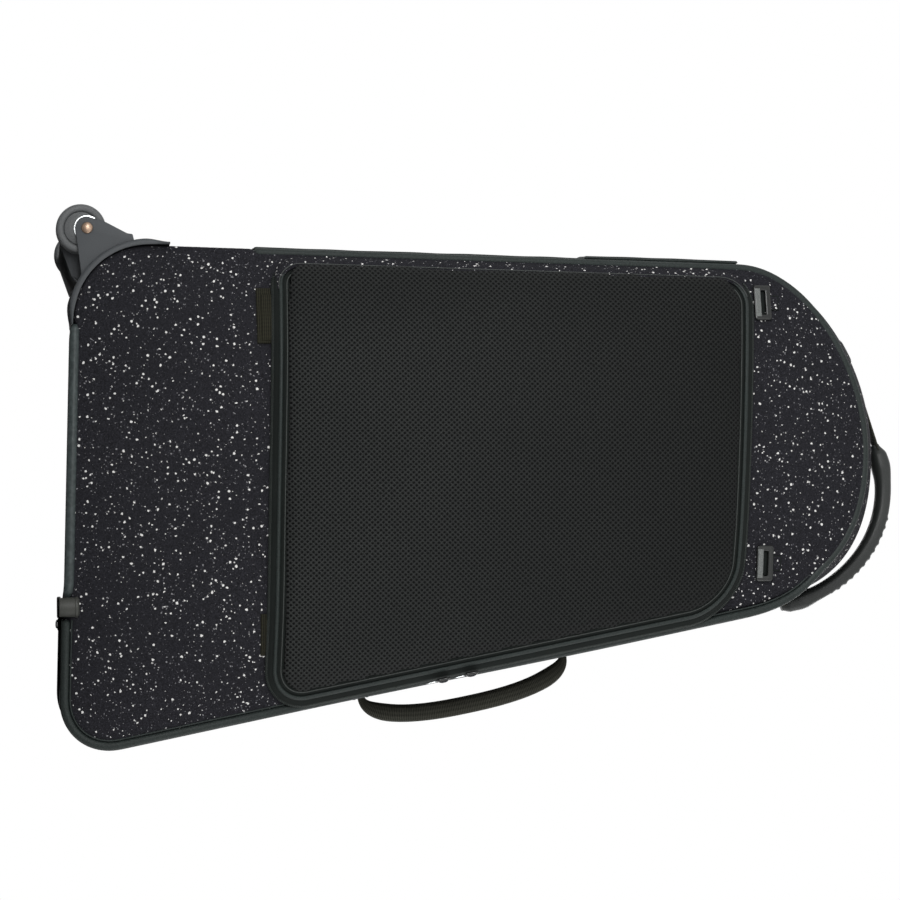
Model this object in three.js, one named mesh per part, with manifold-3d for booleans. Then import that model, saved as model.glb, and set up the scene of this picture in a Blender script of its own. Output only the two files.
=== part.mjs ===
// A wheeled, padded backpack case for a large brass instrument, standing on its flat bell end.
// Millimetres, +Z up along the case. The wheels and the lid hinge are on the -X side, the carry
// handle is on the +X side, and the carrying back with its mesh panel faces -Y.
import * as THREE from "three";
import { mergeVertices } from "three/addons/utils/BufferGeometryUtils.js";
import Module from "manifold-3d";

const wasm = await Module();
wasm.setup();

// Clearances and the sizes that cuts use
const seatGap = 0.3;
const weldDistance = 1e-4;
const cutOverrun = 60;
const quarterTurn = Math.PI / 2;

// Outline of the carrying back, seen from -Y: straight sides that meet in rounded corners
const caseTop = 866;
const hingeSideAtBase = -242;
const hingeSideLean = 22;
const handleSideAtBase = 278;
const handleSideLean = 165;
const baseAtHandleSide = 8.5;
const baseRise = 15;
const apexShare = 0.575;
const domeDropHingeSide = 137;
const domeDropHandleSide = 144;
const handleCornerRun = 53;
const wheelCornerRun = 74;
const roundShare = 0.5523;
const fullShare = 0.66;
const domeSteps = 9;
const cornerSteps = 6;
const sideSteps = 2;

// Depths, as places along Y
const backEdgeAtBase = -150;
const backEdgeAtTop = -100;
const splitDepth = 132;
const frontDepthAtBase = 40;
const frontDepthAtTop = 26;
const backCrown = 50;
const frontCrown = 30;

// Walls
const sideBulge = 8;
const domeSwell = 26;
const swellRun = 100;
const swellStartShare = 0.25;
const wallThickness = 12;
const liningThickness = 2.5;
const liningSetback = 3;
const innerCornerRun = 6;
const rebateDepth = 1.2;
const rebateWidth = 12;
const centreHeightShare = 0.49;
const centreAcross = -5;
const faceShares = [0.22, 0.42, 0.6, 0.76, 0.9];
const cavityShares = [0.4, 0.7, 0.91];
const swellShares = [0.35, 0.68, 1];

// The rolled edge that runs round both faces, the rail that stands in for it on the base, and the feet
const rollRadius = 5.5;
const rollSides = 8;
const rollOut = 2.9;
const rollIn = 3;
const rollEndX = 141;
const railStartX = 119;
const railEndX = -160;
const footX = 130;
const nearFootRadius = 10;
const nearFootHeight = 20.5;
const farFootInset = 27;
const farFootRadius = 12;
const farFootHeight = 4.2;
const footSides = 20;

// Zip and lid hinge, both in a rebate at the split
const tapeThickness = 0.9;
const beadRise = 1.3;
const beadWidth = 1.45;
const stripGapShare = 0.004;
const sliderLength = 14;
const skirtLift = 0.4;
const saddleLift = 1.6;
const sliderRise = 3.9;
const sliderHalfWidth = 6;
const beadClear = 2;
const baseSliderX = 149;
const sideSliderZ = 435;
const lugInner = 2.4;
const lugOuter = 4.4;
const lugLength = 3.4;
const pinRise = 2.8;
const pinRadius = 0.55;
const pinSides = 8;
const pullLength = 10;
const pullHalfThickness = 0.8;

// Wear strips near the back edge of the wheel side
const wearStart = 204;
const wearOverlapStart = 560;
const wearEnd = 729;
const wearIn = 9;
const wearWidth = 52;
const wearThickness = 2.3;
const wearBevel = 1.2;

// Wheels and the moulded bracket that carries them
const wheelRadius = 26;
const wheelX = -260.3;
const wheelInset = { near: 18, far: 29 };
const wheelYs = { near: backEdgeAtBase + wheelInset.near, far: splitDepth - wheelInset.far };
const tyreHalfWidth = 12;
const tyreBore = 17;
const tyreFlat = 3.5;
const tyreShoulder = { radius: 25, half: 8.5 };
const tyreEdgeRadius = 21.5;
const hubDish = 2.5;
const hubHalfWidth = 11.6;
const wheelSides = 22;
const rivetSides = 14;
const axleRadius = 4;
const axleHeadRadius = 7;
const axleHeadDepth = 2;
const axleTipSetback = 1.1;
const earClear = 2;
const earThickness = 4;
const rivetAcross = 0.3;
const rivetRise = 6;
const bossRadius = 12.2;
const rivetRadius = 2.4;
const rivetHeadRadius = 6;
const rivetHeadDepth = 3;
const rivetTailRadius = 3.6;
const rivetTailDepth = 1.2;
const retainerRadius = 13.6;
const retainerThickness = 0.8;
const retainerGap = 0.3;
const flangeLift = 8.7;
const flangeThickness = 3.6;
const flangeReach = 2;
const flangeSetback = 8;
const flangeNearY = backEdgeAtBase - flangeReach;
const flangeFarY = splitDepth - flangeSetback;
const flangeTaper = 2.4;
const flangeTipShare = 0.5;
const flangeTopZ = 118;
const flangeBaseX = -160;
const earNib = { x: -252.7, z: 76.2 };
const earNibTop = { x: -247, z: 81 };
const earShoulder = { x: -267.1, z: 49.4 };
const earRoot = { x: -203, z: 24 };
const skidKnee = { x: -213, z: 16 };
const skidFront = { x: -246, z: 4.6 };
const skidTip = { x: -258, z: 4.6 };
const skidThickness = 3.5;

// Mesh panel over the strap pocket, and what shows round it
const panelInsetHingeSide = 14;
const panelInsetHandleSide = 2;
const panelBase = 217;
const panelBaseRise = 13;
const panelTopSetback = 133;
const panelTopDrop = 21;
const hingeBaseRun = 22;
const handleBaseRun = 38;
const handleTopRun = 50;
const hingeTopRun = 30;
const panelCornerSteps = 4;
const panelSideSteps = 6;
const gussetHeight = 10;
const gussetWidth = 9;
const gussetInset = 1;
const padThickness = 14;
const pipingRadius = 4.5;
const pipingOut = 4;
const pipingHeight = 12;
const panelSliderZ = { lower: 395, upper: 425 };
const panelSliderWidth = 4.6;
const anchorThickness = 2.6;
const anchorLength = 13;
const anchorSpans = { hinge: { from: -197, to: -133 }, handle: { from: 140, to: 183 } };
const anchorTopGap = 0.9;
const strapThickness = 8;
const strapWidth = 60;
const strapBaseGap = 45;
const strapTopGap = 73;
const strapLines = { hinge: { base: -158, top: -92 }, handle: { base: 142, top: 42 } };
const loopWidth = 38.5;
const loopLength = 19.3;
const loopThickness = 5;
const loopSlotWidth = 26;
const loopSlotLength = 4.8;
const loopSlotStart = 8;
const loopTongueWidth = 15;
const loopTongueLength = 8.7;
const loopPlaces = { hinge: { x: -185, above: 10 }, handle: { x: 94.5, above: 22.3 } };

// Carry handle on the side wall
const handleLowZ = 322;
const handleHighZ = 545;
const handleBow = 39.5;
const handleEndLift = 5.4;
const handlePower = 2.4;
const handleRadius = 11;
const handleEndRadius = 4;
const handleEndRun = 9;
const handleGrowRun = 24;
const handleSteps = 16;
const trunnionRadius = 1.5;
const cheekStart = 5.6;
const cheekEnd = 8.4;
const cheekLift = 9;
const mountLength = 40;
const mountWidth = 34;
const mountThickness = 2;

// Grip over the dome, on a strap that runs through it
const gripY = 18;
const gripHalfWidth = 14;
const gripHalfThickness = 9.5;
const gripEndShare = 0.5;
const gripRidge = 1.2;
const gripRidges = 9;
const gripBevelShare = 0.5;
const gripStart = { x: -38, z: caseTop + 44 };
const gripStartPull = { x: 35, z: caseTop + 71 };
const gripEndPull = { x: 117, z: caseTop + 34 };
const gripEnd = { x: 141, z: caseTop - 67 };
const gripStrapHalfWidth = 10;
const gripStrapHalfThickness = 1.2;
const gripStrapLift = 1.7;
const gripStrapShares = { first: [-0.34, -0.26, -0.18], last: [0.84, 0.92, 1] };

// Inside
const bellPadHeight = 75;
const bellSeatDepth = 34;
const bellSeatHalf = { x: 168, y: 96 };
const bellSeatCentre = { x: 8, y: -8 };
const bowPadDepth = 118;
const bowPadStart = caseTop - bowPadDepth;
const bowSeatRadius = 128;
const bowSeatDrop = 86;
const bowSeatCentre = { x: -38, z: bowPadStart - bowSeatDrop };
const padSides = 28;
const strapBandZ = 430;
const strapBandSetback = 36;
const strapBandY = splitDepth - strapBandSetback;
const strapBandHalf = 24;
const strapBandThickness = 2.6;
const buckleX = 40;
const buckleHalf = 20;
const buckleWall = 3;

const paint = (color, roughness, metalness = 0) =>
  new THREE.MeshStandardMaterial({ color, roughness, metalness });
const speckledFabric = paint(0x28282c, 0.9);
const satinBinding = paint(0x2b3331, 0.6);
const liningFabric = paint(0x1d1d20, 0.95);
const foam = paint(0x2a2a2d, 0.95);
const meshFabric = paint(0x2d302f, 0.9);
const webbing = paint(0x1c1c18, 0.8);
const mouldedGrey = paint(0x4b4e50, 0.55);
const wheelGrey = paint(0x3a3c3e, 0.5);
const glossBlack = paint(0x1f2020, 0.35);
const gripRubber = paint(0x26282a, 0.6);
const coilNylon = paint(0x202422, 0.6);
const bareSteel = paint(0xb8bcbd, 0.3, 1);
const rivetMetal = paint(0xbea591, 0.4, 1);
const sliderMetal = paint(0x3b3d3f, 0.35, 1);

const model = new THREE.Group();

function add(name, shape, material, parent = model) {
  const mesh = new THREE.Mesh(shape.isBufferGeometry ? shape : geometryOf(shape), material);
  mesh.name = name;
  parent.add(mesh);
  return mesh;
}

// Turns a closed geometry into a solid that can be joined and cut.
function solid(geometry) {
  const loose = geometry.index ? geometry.toNonIndexed() : geometry;
  const bare = new THREE.BufferGeometry();
  bare.setAttribute("position", loose.getAttribute("position"));
  const merged = mergeVertices(bare, weldDistance);
  return new wasm.Manifold(
    new wasm.Mesh({
      numProp: 3,
      vertProperties: merged.attributes.position.array,
      triVerts: new Uint32Array(merged.index.array),
    }),
  );
}

function geometryOf(shape) {
  const cut = shape.getMesh();
  const geometry = new THREE.BufferGeometry();
  geometry.setAttribute("position", new THREE.BufferAttribute(new Float32Array(cut.vertProperties), 3));
  geometry.setIndex(new THREE.BufferAttribute(new Uint32Array(cut.triVerts), 1));
  return geometry;
}

// Closes points and faces into a geometry whose faces point out.
function closedSurface(points, faces) {
  let volume = 0;
  const cross = new THREE.Vector3();
  for (let i = 0; i < faces.length; i += 3) {
    cross.crossVectors(points[faces[i + 1]], points[faces[i + 2]]);
    volume += cross.dot(points[faces[i]]);
  }
  if (volume < 0) faces.reverse();
  const geometry = new THREE.BufferGeometry().setFromPoints(points);
  geometry.setIndex(faces);
  return geometry;
}

// Faces between neighbouring rings of equal count.
function stripFaces(ringCount, pointCount, joined) {
  const faces = [];
  const spans = joined ? ringCount : ringCount - 1;
  for (let i = 0; i < spans; i++) {
    const here = i * pointCount;
    const there = ((i + 1) % ringCount) * pointCount;
    for (let j = 0; j < pointCount; j++) {
      const k = (j + 1) % pointCount;
      faces.push(here + j, there + j, there + k, here + j, there + k, here + k);
    }
  }
  return faces;
}

// A bowl or a lens: rings between a first and a last pole.
function poled(firstPole, rings, lastPole) {
  const count = rings[0].length;
  const points = [...rings.flat(), firstPole, lastPole];
  const faces = stripFaces(rings.length, count, false);
  const first = rings.length * count;
  const lastRing = (rings.length - 1) * count;
  for (let j = 0; j < count; j++) {
    const k = (j + 1) % count;
    faces.push(first, j, k, first + 1, lastRing + k, lastRing + j);
  }
  return closedSurface(points, faces);
}

// A closed section of [across, along] corners carried through stations that place each corner.
function swept(section, stations, joined = false) {
  const count = section.length;
  const points = stations.flatMap((place) => section.map(([across, along]) => place(across, along)));
  const faces = stripFaces(stations.length, count, joined);
  if (!joined) {
    const flat = section.map(([across, along]) => new THREE.Vector2(across, along));
    const turn = Math.sign(THREE.ShapeUtils.area(flat));
    const last = (stations.length - 1) * count;
    for (const [a, b, c] of THREE.ShapeUtils.triangulateShape([...flat], [])) {
      const agrees = Math.sign(THREE.ShapeUtils.area([flat[a], flat[b], flat[c]])) === turn;
      const [p, q] = agrees ? [b, c] : [c, b];
      faces.push(a, p, q, last + a, last + q, last + p);
    }
  }
  return closedSurface(points, faces);
}

// Corners of a regular polygon, a flat side facing out.
function ringSection(radius, sides) {
  return Array.from({ length: sides }, (_, i) => {
    const angle = ((i + 0.5) * 2 * Math.PI) / sides;
    return [radius * Math.cos(angle), radius * Math.sin(angle)];
  });
}

// A straight prism over an outline of [x, z] points, between two depths.
function prism(outline, yLow, yHigh, holes = []) {
  const points = outline.map(([x, z]) => new THREE.Vector2(x, z));
  const shape = new THREE.Shape(THREE.ShapeUtils.isClockWise(points) ? points.reverse() : points);
  shape.holes = holes.map((hole) => new THREE.Path(hole.map(([x, z]) => new THREE.Vector2(x, z))));
  const geometry = new THREE.ExtrudeGeometry(shape, { depth: yHigh - yLow, bevelEnabled: false });
  return solid(geometry.rotateX(quarterTurn).translate(0, yHigh, 0));
}

const box = (low, high) =>
  solid(
    new THREE.BoxGeometry(high[0] - low[0], high[1] - low[1], high[2] - low[2]).translate(
      (low[0] + high[0]) / 2,
      (low[1] + high[1]) / 2,
      (low[2] + high[2]) / 2,
    ),
  );

// Straight lines of the outline
const mix = THREE.MathUtils.lerp;
const hingeSideX = (z) => hingeSideAtBase + (hingeSideLean * z) / caseTop;
const handleSideX = (z) => handleSideAtBase - (handleSideLean * z) / caseTop;
const baseZ = (x) =>
  baseAtHandleSide + (baseRise * (handleSideAtBase - x)) / (handleSideAtBase - hingeSideAtBase);

// Samples of a polygon with rounded corners, in order, each with its outward normal. A corner's curve
// starts `before` it and ends `after` it; the sides between are straight, in `parts` parts.
function roundedOutline(corners, parts = sideSteps) {
  const flat = (corner) => new THREE.Vector2(corner.x, corner.z);
  const curves = corners.map((corner, i) => {
    const here = flat(corner);
    const before = flat(corners.at(i - 1)).sub(here).setLength(corner.before).add(here);
    const after = flat(corners[(i + 1) % corners.length]).sub(here).setLength(corner.after).add(here);
    return new THREE.CubicBezierCurve(
      before,
      before.clone().lerp(here, corner.fullness),
      after.clone().lerp(here, corner.fullness),
      after,
    );
  });
  const sample = (curve, share) => {
    const { x, y: z } = curve.getPoint(share);
    const along = curve.getTangent(share);
    return { x, z, nx: -along.y, nz: along.x };
  };
  const rounds = curves.map((curve, i) => {
    const steps = corners[i].steps;
    return Array.from({ length: steps + 1 }, (_, j) => sample(curve, j / steps));
  });
  const sides = curves.map((curve, i) => {
    const next = curves[(i + 1) % curves.length];
    return new THREE.LineCurve(curve.v3, next.v0);
  });
  const samples = rounds.flatMap((round, i) => {
    if (sides[i].getLength() < weldDistance) return round.slice(0, -1);
    const between = Array.from({ length: parts - 1 }, (_, j) => sample(sides[i], (j + 1) / parts));
    return [...round, ...between];
  });
  return { samples, rounds, sides, sample, curves };
}

const topLeft = hingeSideX(caseTop);
const topRight = handleSideX(caseTop);
const caseOutline = roundedOutline([
  {
    x: topLeft,
    z: caseTop,
    before: domeDropHingeSide,
    after: (topRight - topLeft) * apexShare,
    fullness: roundShare,
    steps: domeSteps,
  },
  {
    x: topRight,
    z: caseTop,
    before: (topRight - topLeft) * (1 - apexShare),
    after: domeDropHandleSide,
    fullness: fullShare,
    steps: domeSteps,
  },
  {
    x: handleSideX(baseAtHandleSide),
    z: baseAtHandleSide,
    before: handleCornerRun,
    after: handleCornerRun,
    fullness: roundShare,
    steps: cornerSteps,
  },
  {
    x: hingeSideX(baseZ(hingeSideAtBase)),
    z: baseZ(hingeSideAtBase),
    before: wheelCornerRun,
    after: wheelCornerRun,
    fullness: roundShare,
    steps: cornerSteps,
  },
]);
const [hingeDome, , handleCorner, wheelCorner] = caseOutline.rounds;
const [, handleSide, baseSide, hingeSide] = caseOutline.sides;
const centre = { x: centreAcross, z: caseTop * centreHeightShare };

// How much of the dome's swell a place on the outline gets, from none on the sides to all at the apex.
const swellAt = (sample) => THREE.MathUtils.smoothstep(sample.nz, swellStartShare, 1);
const topShare = (z) => z / caseTop;
const grooveRadius = rollRadius + seatGap / Math.cos(Math.PI / rollSides);
const halfSide = Math.PI / rollSides;
const grooveEdgeOut = rollOut + grooveRadius * Math.cos(halfSide);
const wallStart = rollIn + grooveRadius * Math.sin(halfSide) + grooveEdgeOut - sideBulge;

// The two halves of the shell. inwards is the way from the face into the case along Y.
const backHalf = {
  inwards: 1,
  crown: backCrown,
  edge: (z) => mix(backEdgeAtBase, backEdgeAtTop, topShare(z)),
  edgeOut: () => 0,
  swellGrows: true,
};
const frontHalf = {
  inwards: -1,
  crown: frontCrown,
  edge: (z) => splitDepth + mix(frontDepthAtBase, frontDepthAtTop, topShare(z)),
  edgeOut: (sample) => domeSwell * swellAt(sample),
  swellGrows: false,
};

// A point out from the outline by `out`, and in from the face's edge by `inside`.
function at(half, sample, out, inside) {
  const x = sample.x + sample.nx * out;
  const z = sample.z + sample.nz * out;
  return new THREE.Vector3(x, half.edge(z) + half.inwards * inside, z);
}

function atDepth(sample, out, y) {
  return new THREE.Vector3(sample.x + sample.nx * out, y, sample.z + sample.nz * out);
}

// How far the outer wall stands out of the outline, `inside` the edge.
function wallOut(half, sample, inside) {
  const full = domeSwell * swellAt(sample);
  if (!half.swellGrows) return sideBulge + full;
  return sideBulge + full * THREE.MathUtils.smoothstep(inside - wallStart, 0, swellRun);
}

const wallAtSplit = (sample) => sideBulge + domeSwell * swellAt(sample);

// A ring of the crowned face at a share of the way from the middle to the edge, moved in by `inset`.
function faceRing(half, share, inset) {
  return caseOutline.samples.map((sample) => {
    const out = half.edgeOut(sample);
    const x = mix(centre.x, sample.x + sample.nx * out, share);
    const z = mix(centre.z, sample.z + sample.nz * out, share);
    const depth = inset - half.crown * (1 - share * share);
    return new THREE.Vector3(x, half.edge(z) + half.inwards * depth, z);
  });
}

function facePole(half, inset) {
  return new THREE.Vector3(centre.x, half.edge(centre.z) + half.inwards * (inset - half.crown), centre.z);
}

const ringOf = (place) => caseOutline.samples.map(place);

function wallInsets(half) {
  return half.swellGrows ? swellShares.map((share) => wallStart + swellRun * share) : [];
}

// Rings of the cavity from its rim to its face, `inset` further in than the shell's inner skin.
function cavityRings(half, inset, rimY) {
  const depth = wallThickness + inset;
  const walls = wallInsets(half).reverse();
  return [
    ringOf((s) => atDepth(s, wallAtSplit(s) - depth, rimY)),
    ...walls.map((inside) => ringOf((s) => at(half, s, wallOut(half, s, inside) - depth, inside))),
    ringOf((s) => at(half, s, half.edgeOut(s) + sideBulge - depth, depth + innerCornerRun)),
    ...cavityShares.toReversed().map((share) => faceRing(half, share, depth)),
  ];
}

function shellOf(half) {
  const rimY = splitDepth - (half.inwards * seatGap) / 2;
  const rebateY = splitDepth - half.inwards * rebateWidth;
  const groove = [-1, 1, 3, 5].map((step) => {
    const angle = Math.PI - step * halfSide;
    return ringOf((s) =>
      at(
        half,
        s,
        half.edgeOut(s) + rollOut + grooveRadius * Math.cos(angle),
        rollIn + grooveRadius * Math.sin(angle),
      ),
    );
  });
  const outer = [
    ...faceShares.map((share) => faceRing(half, share, 0)),
    ...groove,
    ...[wallStart, ...wallInsets(half)].map((inside) =>
      ringOf((s) => at(half, s, wallOut(half, s, inside), inside)),
    ),
    ringOf((s) => atDepth(s, wallAtSplit(s), rebateY)),
    ringOf((s) => atDepth(s, wallAtSplit(s) - rebateDepth, rebateY)),
    ringOf((s) => atDepth(s, wallAtSplit(s) - rebateDepth, rimY)),
  ];
  const rings = [...outer, ...cavityRings(half, 0, rimY)];
  return poled(facePole(half, 0), rings, facePole(half, wallThickness));
}

function liningOf(half) {
  const rimY = splitDepth - half.inwards * liningSetback;
  const skin = cavityRings(half, seatGap, rimY);
  const room = cavityRings(half, seatGap + liningThickness, rimY).reverse();
  return poled(
    facePole(half, wallThickness + seatGap + liningThickness),
    [...room, ...skin],
    facePole(half, wallThickness + seatGap),
  );
}

add("back_shell", shellOf(backHalf), speckledFabric);
add("front_shell", shellOf(frontHalf), speckledFabric);
add("back_lining", liningOf(backHalf), liningFabric);
add("front_lining", liningOf(frontHalf), liningFabric);

// The outer surface of the back half as a solid, with the roll's groove filled, `rise` towards -Y.
const rollCover = [
  [rollOut - grooveRadius * Math.cos(halfSide), rollIn - grooveRadius * Math.sin(halfSide)],
  [rollOut - grooveRadius * Math.sin(halfSide), rollIn - grooveRadius * Math.cos(halfSide)],
  [rollOut + grooveRadius * Math.sin(halfSide), rollIn - grooveRadius * Math.cos(halfSide)],
  [rollOut + grooveRadius * Math.cos(halfSide), rollIn - grooveRadius * Math.sin(halfSide)],
  [rollOut + grooveRadius * Math.cos(halfSide), rollIn + grooveRadius * Math.sin(halfSide)],
];
function envelope(rise, drop = 0) {
  const rings = [
    ...faceShares.map((share) => faceRing(backHalf, share, 0)),
    ...rollCover.map(([out, inside]) => ringOf((s) => at(backHalf, s, out, inside))),
    ...wallInsets(backHalf).map((inside) =>
      ringOf((s) => at(backHalf, s, wallOut(backHalf, s, inside), inside)),
    ),
    ringOf((s) => atDepth(s, wallAtSplit(s), splitDepth)),
  ];
  const shape = poled(facePole(backHalf, 0), rings, new THREE.Vector3(centre.x, splitDepth, centre.z));
  return solid(shape.translate(0, -rise, -drop));
}

// A slab over the footprint that follows the back, from `low` to `high` above it.
const slabBack = backEdgeAtBase - backCrown - cutOverrun;
const slabFront = backEdgeAtTop + cutOverrun;
function draped(footprint, low, high, holes = []) {
  return prism(footprint, slabBack, slabFront, holes).intersect(envelope(high)).subtract(envelope(low));
}

// Depth of the back at a place, from its share of the way from the middle to the outline.
function faceDepth({ x, z }) {
  const [px, pz] = [x - centre.x, z - centre.z];
  let share = 0;
  caseOutline.samples.forEach((a, i, all) => {
    const b = all[(i + 1) % all.length];
    const [ax, az] = [a.x - centre.x, a.z - centre.z];
    const [dx, dz] = [b.x - a.x, b.z - a.z];
    const along = (ax * pz - az * px) / (dz * px - dx * pz);
    const reach = Math.hypot(ax + dx * along, az + dz * along);
    const ahead = (ax + dx * along) * px + (az + dz * along) * pz > 0;
    if (along >= 0 && along <= 1 && ahead) share = Math.hypot(px, pz) / reach;
  });
  return backHalf.edge(z) - backCrown * (1 - share * share);
}

const samples = caseOutline.samples;
const onSide = (side, share) => caseOutline.sample(side, share);
const baseAt = (x) => onSide(baseSide, (x - baseSide.v1.x) / (baseSide.v2.x - baseSide.v1.x));
const handleAt = (z) => onSide(handleSide, (z - handleSide.v1.y) / (handleSide.v2.y - handleSide.v1.y));
const hingeAt = (z) => onSide(hingeSide, (z - hingeSide.v1.y) / (hingeSide.v2.y - hingeSide.v1.y));

// Edge rolls, and the rail on the base
const rollSection = ringSection(rollRadius, rollSides);
const rollStation = (half) => (sample) => (across, along) =>
  at(half, sample, half.edgeOut(sample) + rollOut + across, rollIn + along);
const wheelStart = samples.indexOf(wheelCorner[0]);
const baseEnd = samples.indexOf(handleCorner.at(-1));
const backRollRun = [...samples.slice(wheelStart), ...samples.slice(0, baseEnd + 1), baseAt(rollEndX)];
add("edge_roll_back", swept(rollSection, backRollRun.map(rollStation(backHalf))), satinBinding);
add("edge_roll_front", swept(rollSection, samples.map(rollStation(frontHalf)), true), satinBinding);
const railRun = [baseAt(railStartX), baseAt((railStartX + railEndX) / 2), baseAt(railEndX)];
add("skid_rail", swept(rollSection, railRun.map(rollStation(backHalf))), satinBinding);

// Feet
const upright = (radius, low, high, x, y) =>
  solid(
    new THREE.CylinderGeometry(radius, radius, high - low, footSides)
      .rotateX(quarterTurn)
      .translate(x, y, (low + high) / 2),
  );
const nearFoot = upright(nearFootRadius, 0, nearFootHeight, footX, backEdgeAtBase)
  .subtract(envelope(seatGap))
  .subtract(envelope(0, seatGap))
  .subtract(envelope(seatGap, seatGap));
add("near_foot", nearFoot, satinBinding);
add("far_foot", upright(farFootRadius, 0, farFootHeight, footX, splitDepth - farFootInset), glossBlack);

// Zip tapes with their beads, and the plain strips that hinge the lid
const zipRun = samples.slice(1, samples.indexOf(wheelCorner.at(-1)));
const hingeRun = [
  caseOutline.sample(caseOutline.curves[3], 1 - 1 / cornerSteps + stripGapShare),
  wheelCorner.at(-1),
  samples.at(-1),
  hingeDome[0],
  caseOutline.sample(caseOutline.curves[0], 1 / domeSteps - stripGapShare),
];
for (const [side, half] of Object.entries({ back: backHalf, front: frontHalf })) {
  const rim = splitDepth - (half.inwards * seatGap) / 2;
  const start = splitDepth - half.inwards * (rebateWidth - seatGap);
  const beadStart = rim - half.inwards * beadWidth;
  const place = (sample) => (across, y) => atDepth(sample, wallAtSplit(sample) + across, y);
  const tape = [
    [-tapeThickness, start],
    [0, start],
    [0, beadStart],
    [beadRise, beadStart],
    [beadRise, rim],
    [-tapeThickness, rim],
  ];
  const strip = [
    [-tapeThickness, start],
    [0, start],
    [0, rim],
    [-tapeThickness, rim],
  ];
  add("zipper_" + side, swept(tape, zipRun.map(place)), coilNylon);
  add("hinge_strip_" + side, swept(strip, hingeRun.map(place)), satinBinding);
}

// Sliders and pulls, drawn in a frame with its own origin, run, way out and depth
const deep = new THREE.Vector3(0, 1, 0);
function frameAt(origin, run, out) {
  const depth = new THREE.Vector3().crossVectors(run, out).normalize();
  if (depth.dot(deep) < 0) depth.negate();
  return (a, o, d) =>
    origin.clone().addScaledVector(run, a).addScaledVector(out, o).addScaledVector(depth, d);
}
const bar = (frame, section, from, to) =>
  solid(swept(section, [from, to].map((a) => (o, d) => frame(a, o, d))));
const block = (frame, [a, o, d], [b, p, e]) =>
  bar(frame, [[o, d], [p, d], [p, e], [o, e]], a, b);
const pin = (frame, radius, a, o, from, to) =>
  solid(
    swept(
      ringSection(radius, pinSides),
      [from, to].map((d) => (across, along) => frame(a + across, o + along, d)),
    ),
  );
function addSlider(name, frame, section) {
  const half = sliderLength / 2;
  const pinAt = half + lugLength / 2;
  const lugs = [-1, 1].map((side) => {
    const [low, high] = side > 0 ? [lugInner, lugOuter] : [-lugOuter, -lugInner];
    return block(frame, [half - seatGap, saddleLift, low], [half + lugLength, sliderRise, high]);
  });
  const bore = pin(frame, pinRadius + seatGap, pinAt, pinRise, -cutOverrun, cutOverrun);
  const body = wasm.Manifold.union([bar(frame, section, -half, half), ...lugs]).subtract(bore);
  const tongue = lugInner - seatGap;
  const tab = block(
    frame,
    [pinAt - pullHalfThickness, pinRise - pullHalfThickness, -tongue],
    [pinAt + pullLength, pinRise + pullHalfThickness, tongue],
  );
  add(name, body, sliderMetal);
  add(name + "_pull", tab.add(pin(frame, pinRadius, pinAt, pinRise, -lugOuter, lugOuter)), sliderMetal);
}
const saddleSection = [
  [skirtLift, -sliderHalfWidth],
  [sliderRise, -sliderHalfWidth],
  [sliderRise, sliderHalfWidth],
  [saddleLift, sliderHalfWidth],
  [saddleLift, -beadClear],
  [skirtLift, -beadClear],
];
const outOf = (sample) => new THREE.Vector3(sample.nx, 0, sample.nz);
const runOf = (sample) => new THREE.Vector3(sample.nz, 0, -sample.nx);
const splitFrame = (sample) => frameAt(atDepth(sample, sideBulge, splitDepth), runOf(sample), outOf(sample));
const baseFrame = splitFrame(baseAt(baseSliderX));
add("main_slider_base", bar(baseFrame, saddleSection, -sliderLength / 2, sliderLength / 2), sliderMetal);
addSlider("main_slider_side", splitFrame(handleAt(sideSliderZ)), saddleSection);

// Wear strips: one long, and a second over its upper end
const wearSection = [
  [0, 0],
  [wearThickness - wearBevel, 0],
  [wearThickness, wearBevel],
  [wearThickness, wearWidth - wearBevel],
  [wearThickness - wearBevel, wearWidth],
  [0, wearWidth],
];
const wearLayers = { wear_strip: [wearStart, 0], wear_strip_upper: [wearOverlapStart, 1] };
for (const [name, [start, layer]] of Object.entries(wearLayers)) {
  const lift = sideBulge + seatGap + layer * (wearThickness + seatGap);
  const stations = [hingeAt(start), hingeAt(wearEnd)].map(
    (sample) => (across, along) => at(backHalf, sample, lift + across, wearIn + along),
  );
  add(name, swept(wearSection, stations), satinBinding);
}

// Wheel bracket: a saddle round the corner, four ears and a skid plate between the inner ears
const flangeRun = [baseAt(flangeBaseX), ...wheelCorner, hingeAt(flangeTopZ)];
const flangeSection = [
  [0, flangeNearY],
  [flangeThickness, flangeNearY + flangeTaper],
  [flangeThickness, flangeFarY - flangeTaper],
  [0, flangeFarY],
];
const flange = swept(
  flangeSection,
  flangeRun.map((sample, i, all) => {
    const share = i === 0 || i === all.length - 1 ? flangeTipShare : 1;
    return (across, y) => atDepth(sample, flangeLift + across * share, y);
  }),
);
const earTop = (shape) =>
  shape
    .lineTo(earShoulder.x, earShoulder.z)
    .lineTo(earNib.x, earNib.z)
    .lineTo(earNibTop.x, earNibTop.z)
    .lineTo(earRoot.x, earNibTop.z);
const boss = { x: wheelX + rivetAcross, z: wheelRadius + rivetRise };
const outerEar = new THREE.Shape().moveTo(earRoot.x, earRoot.z);
outerEar.absarc(boss.x, boss.z, bossRadius, -quarterTurn, Math.PI, true);
earTop(outerEar);
const skidLine = [skidTip, skidFront, skidKnee, earRoot];
const innerEar = new THREE.Shape().moveTo(earRoot.x, earRoot.z);
for (const knee of [skidKnee, skidFront, skidTip]) innerEar.lineTo(knee.x, knee.z);
innerEar.lineTo(boss.x - bossRadius, boss.z - rivetRise);
earTop(innerEar);
const flat = (shape) => shape.getPoints(footSides / 2).map(({ x, y }) => [x, y]);
const skidWeb = [
  ...skidLine.map(({ x, z }) => [x, z + seatGap]),
  ...skidLine.toReversed().map(({ x, z }) => [x, z + skidThickness]),
];
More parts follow.
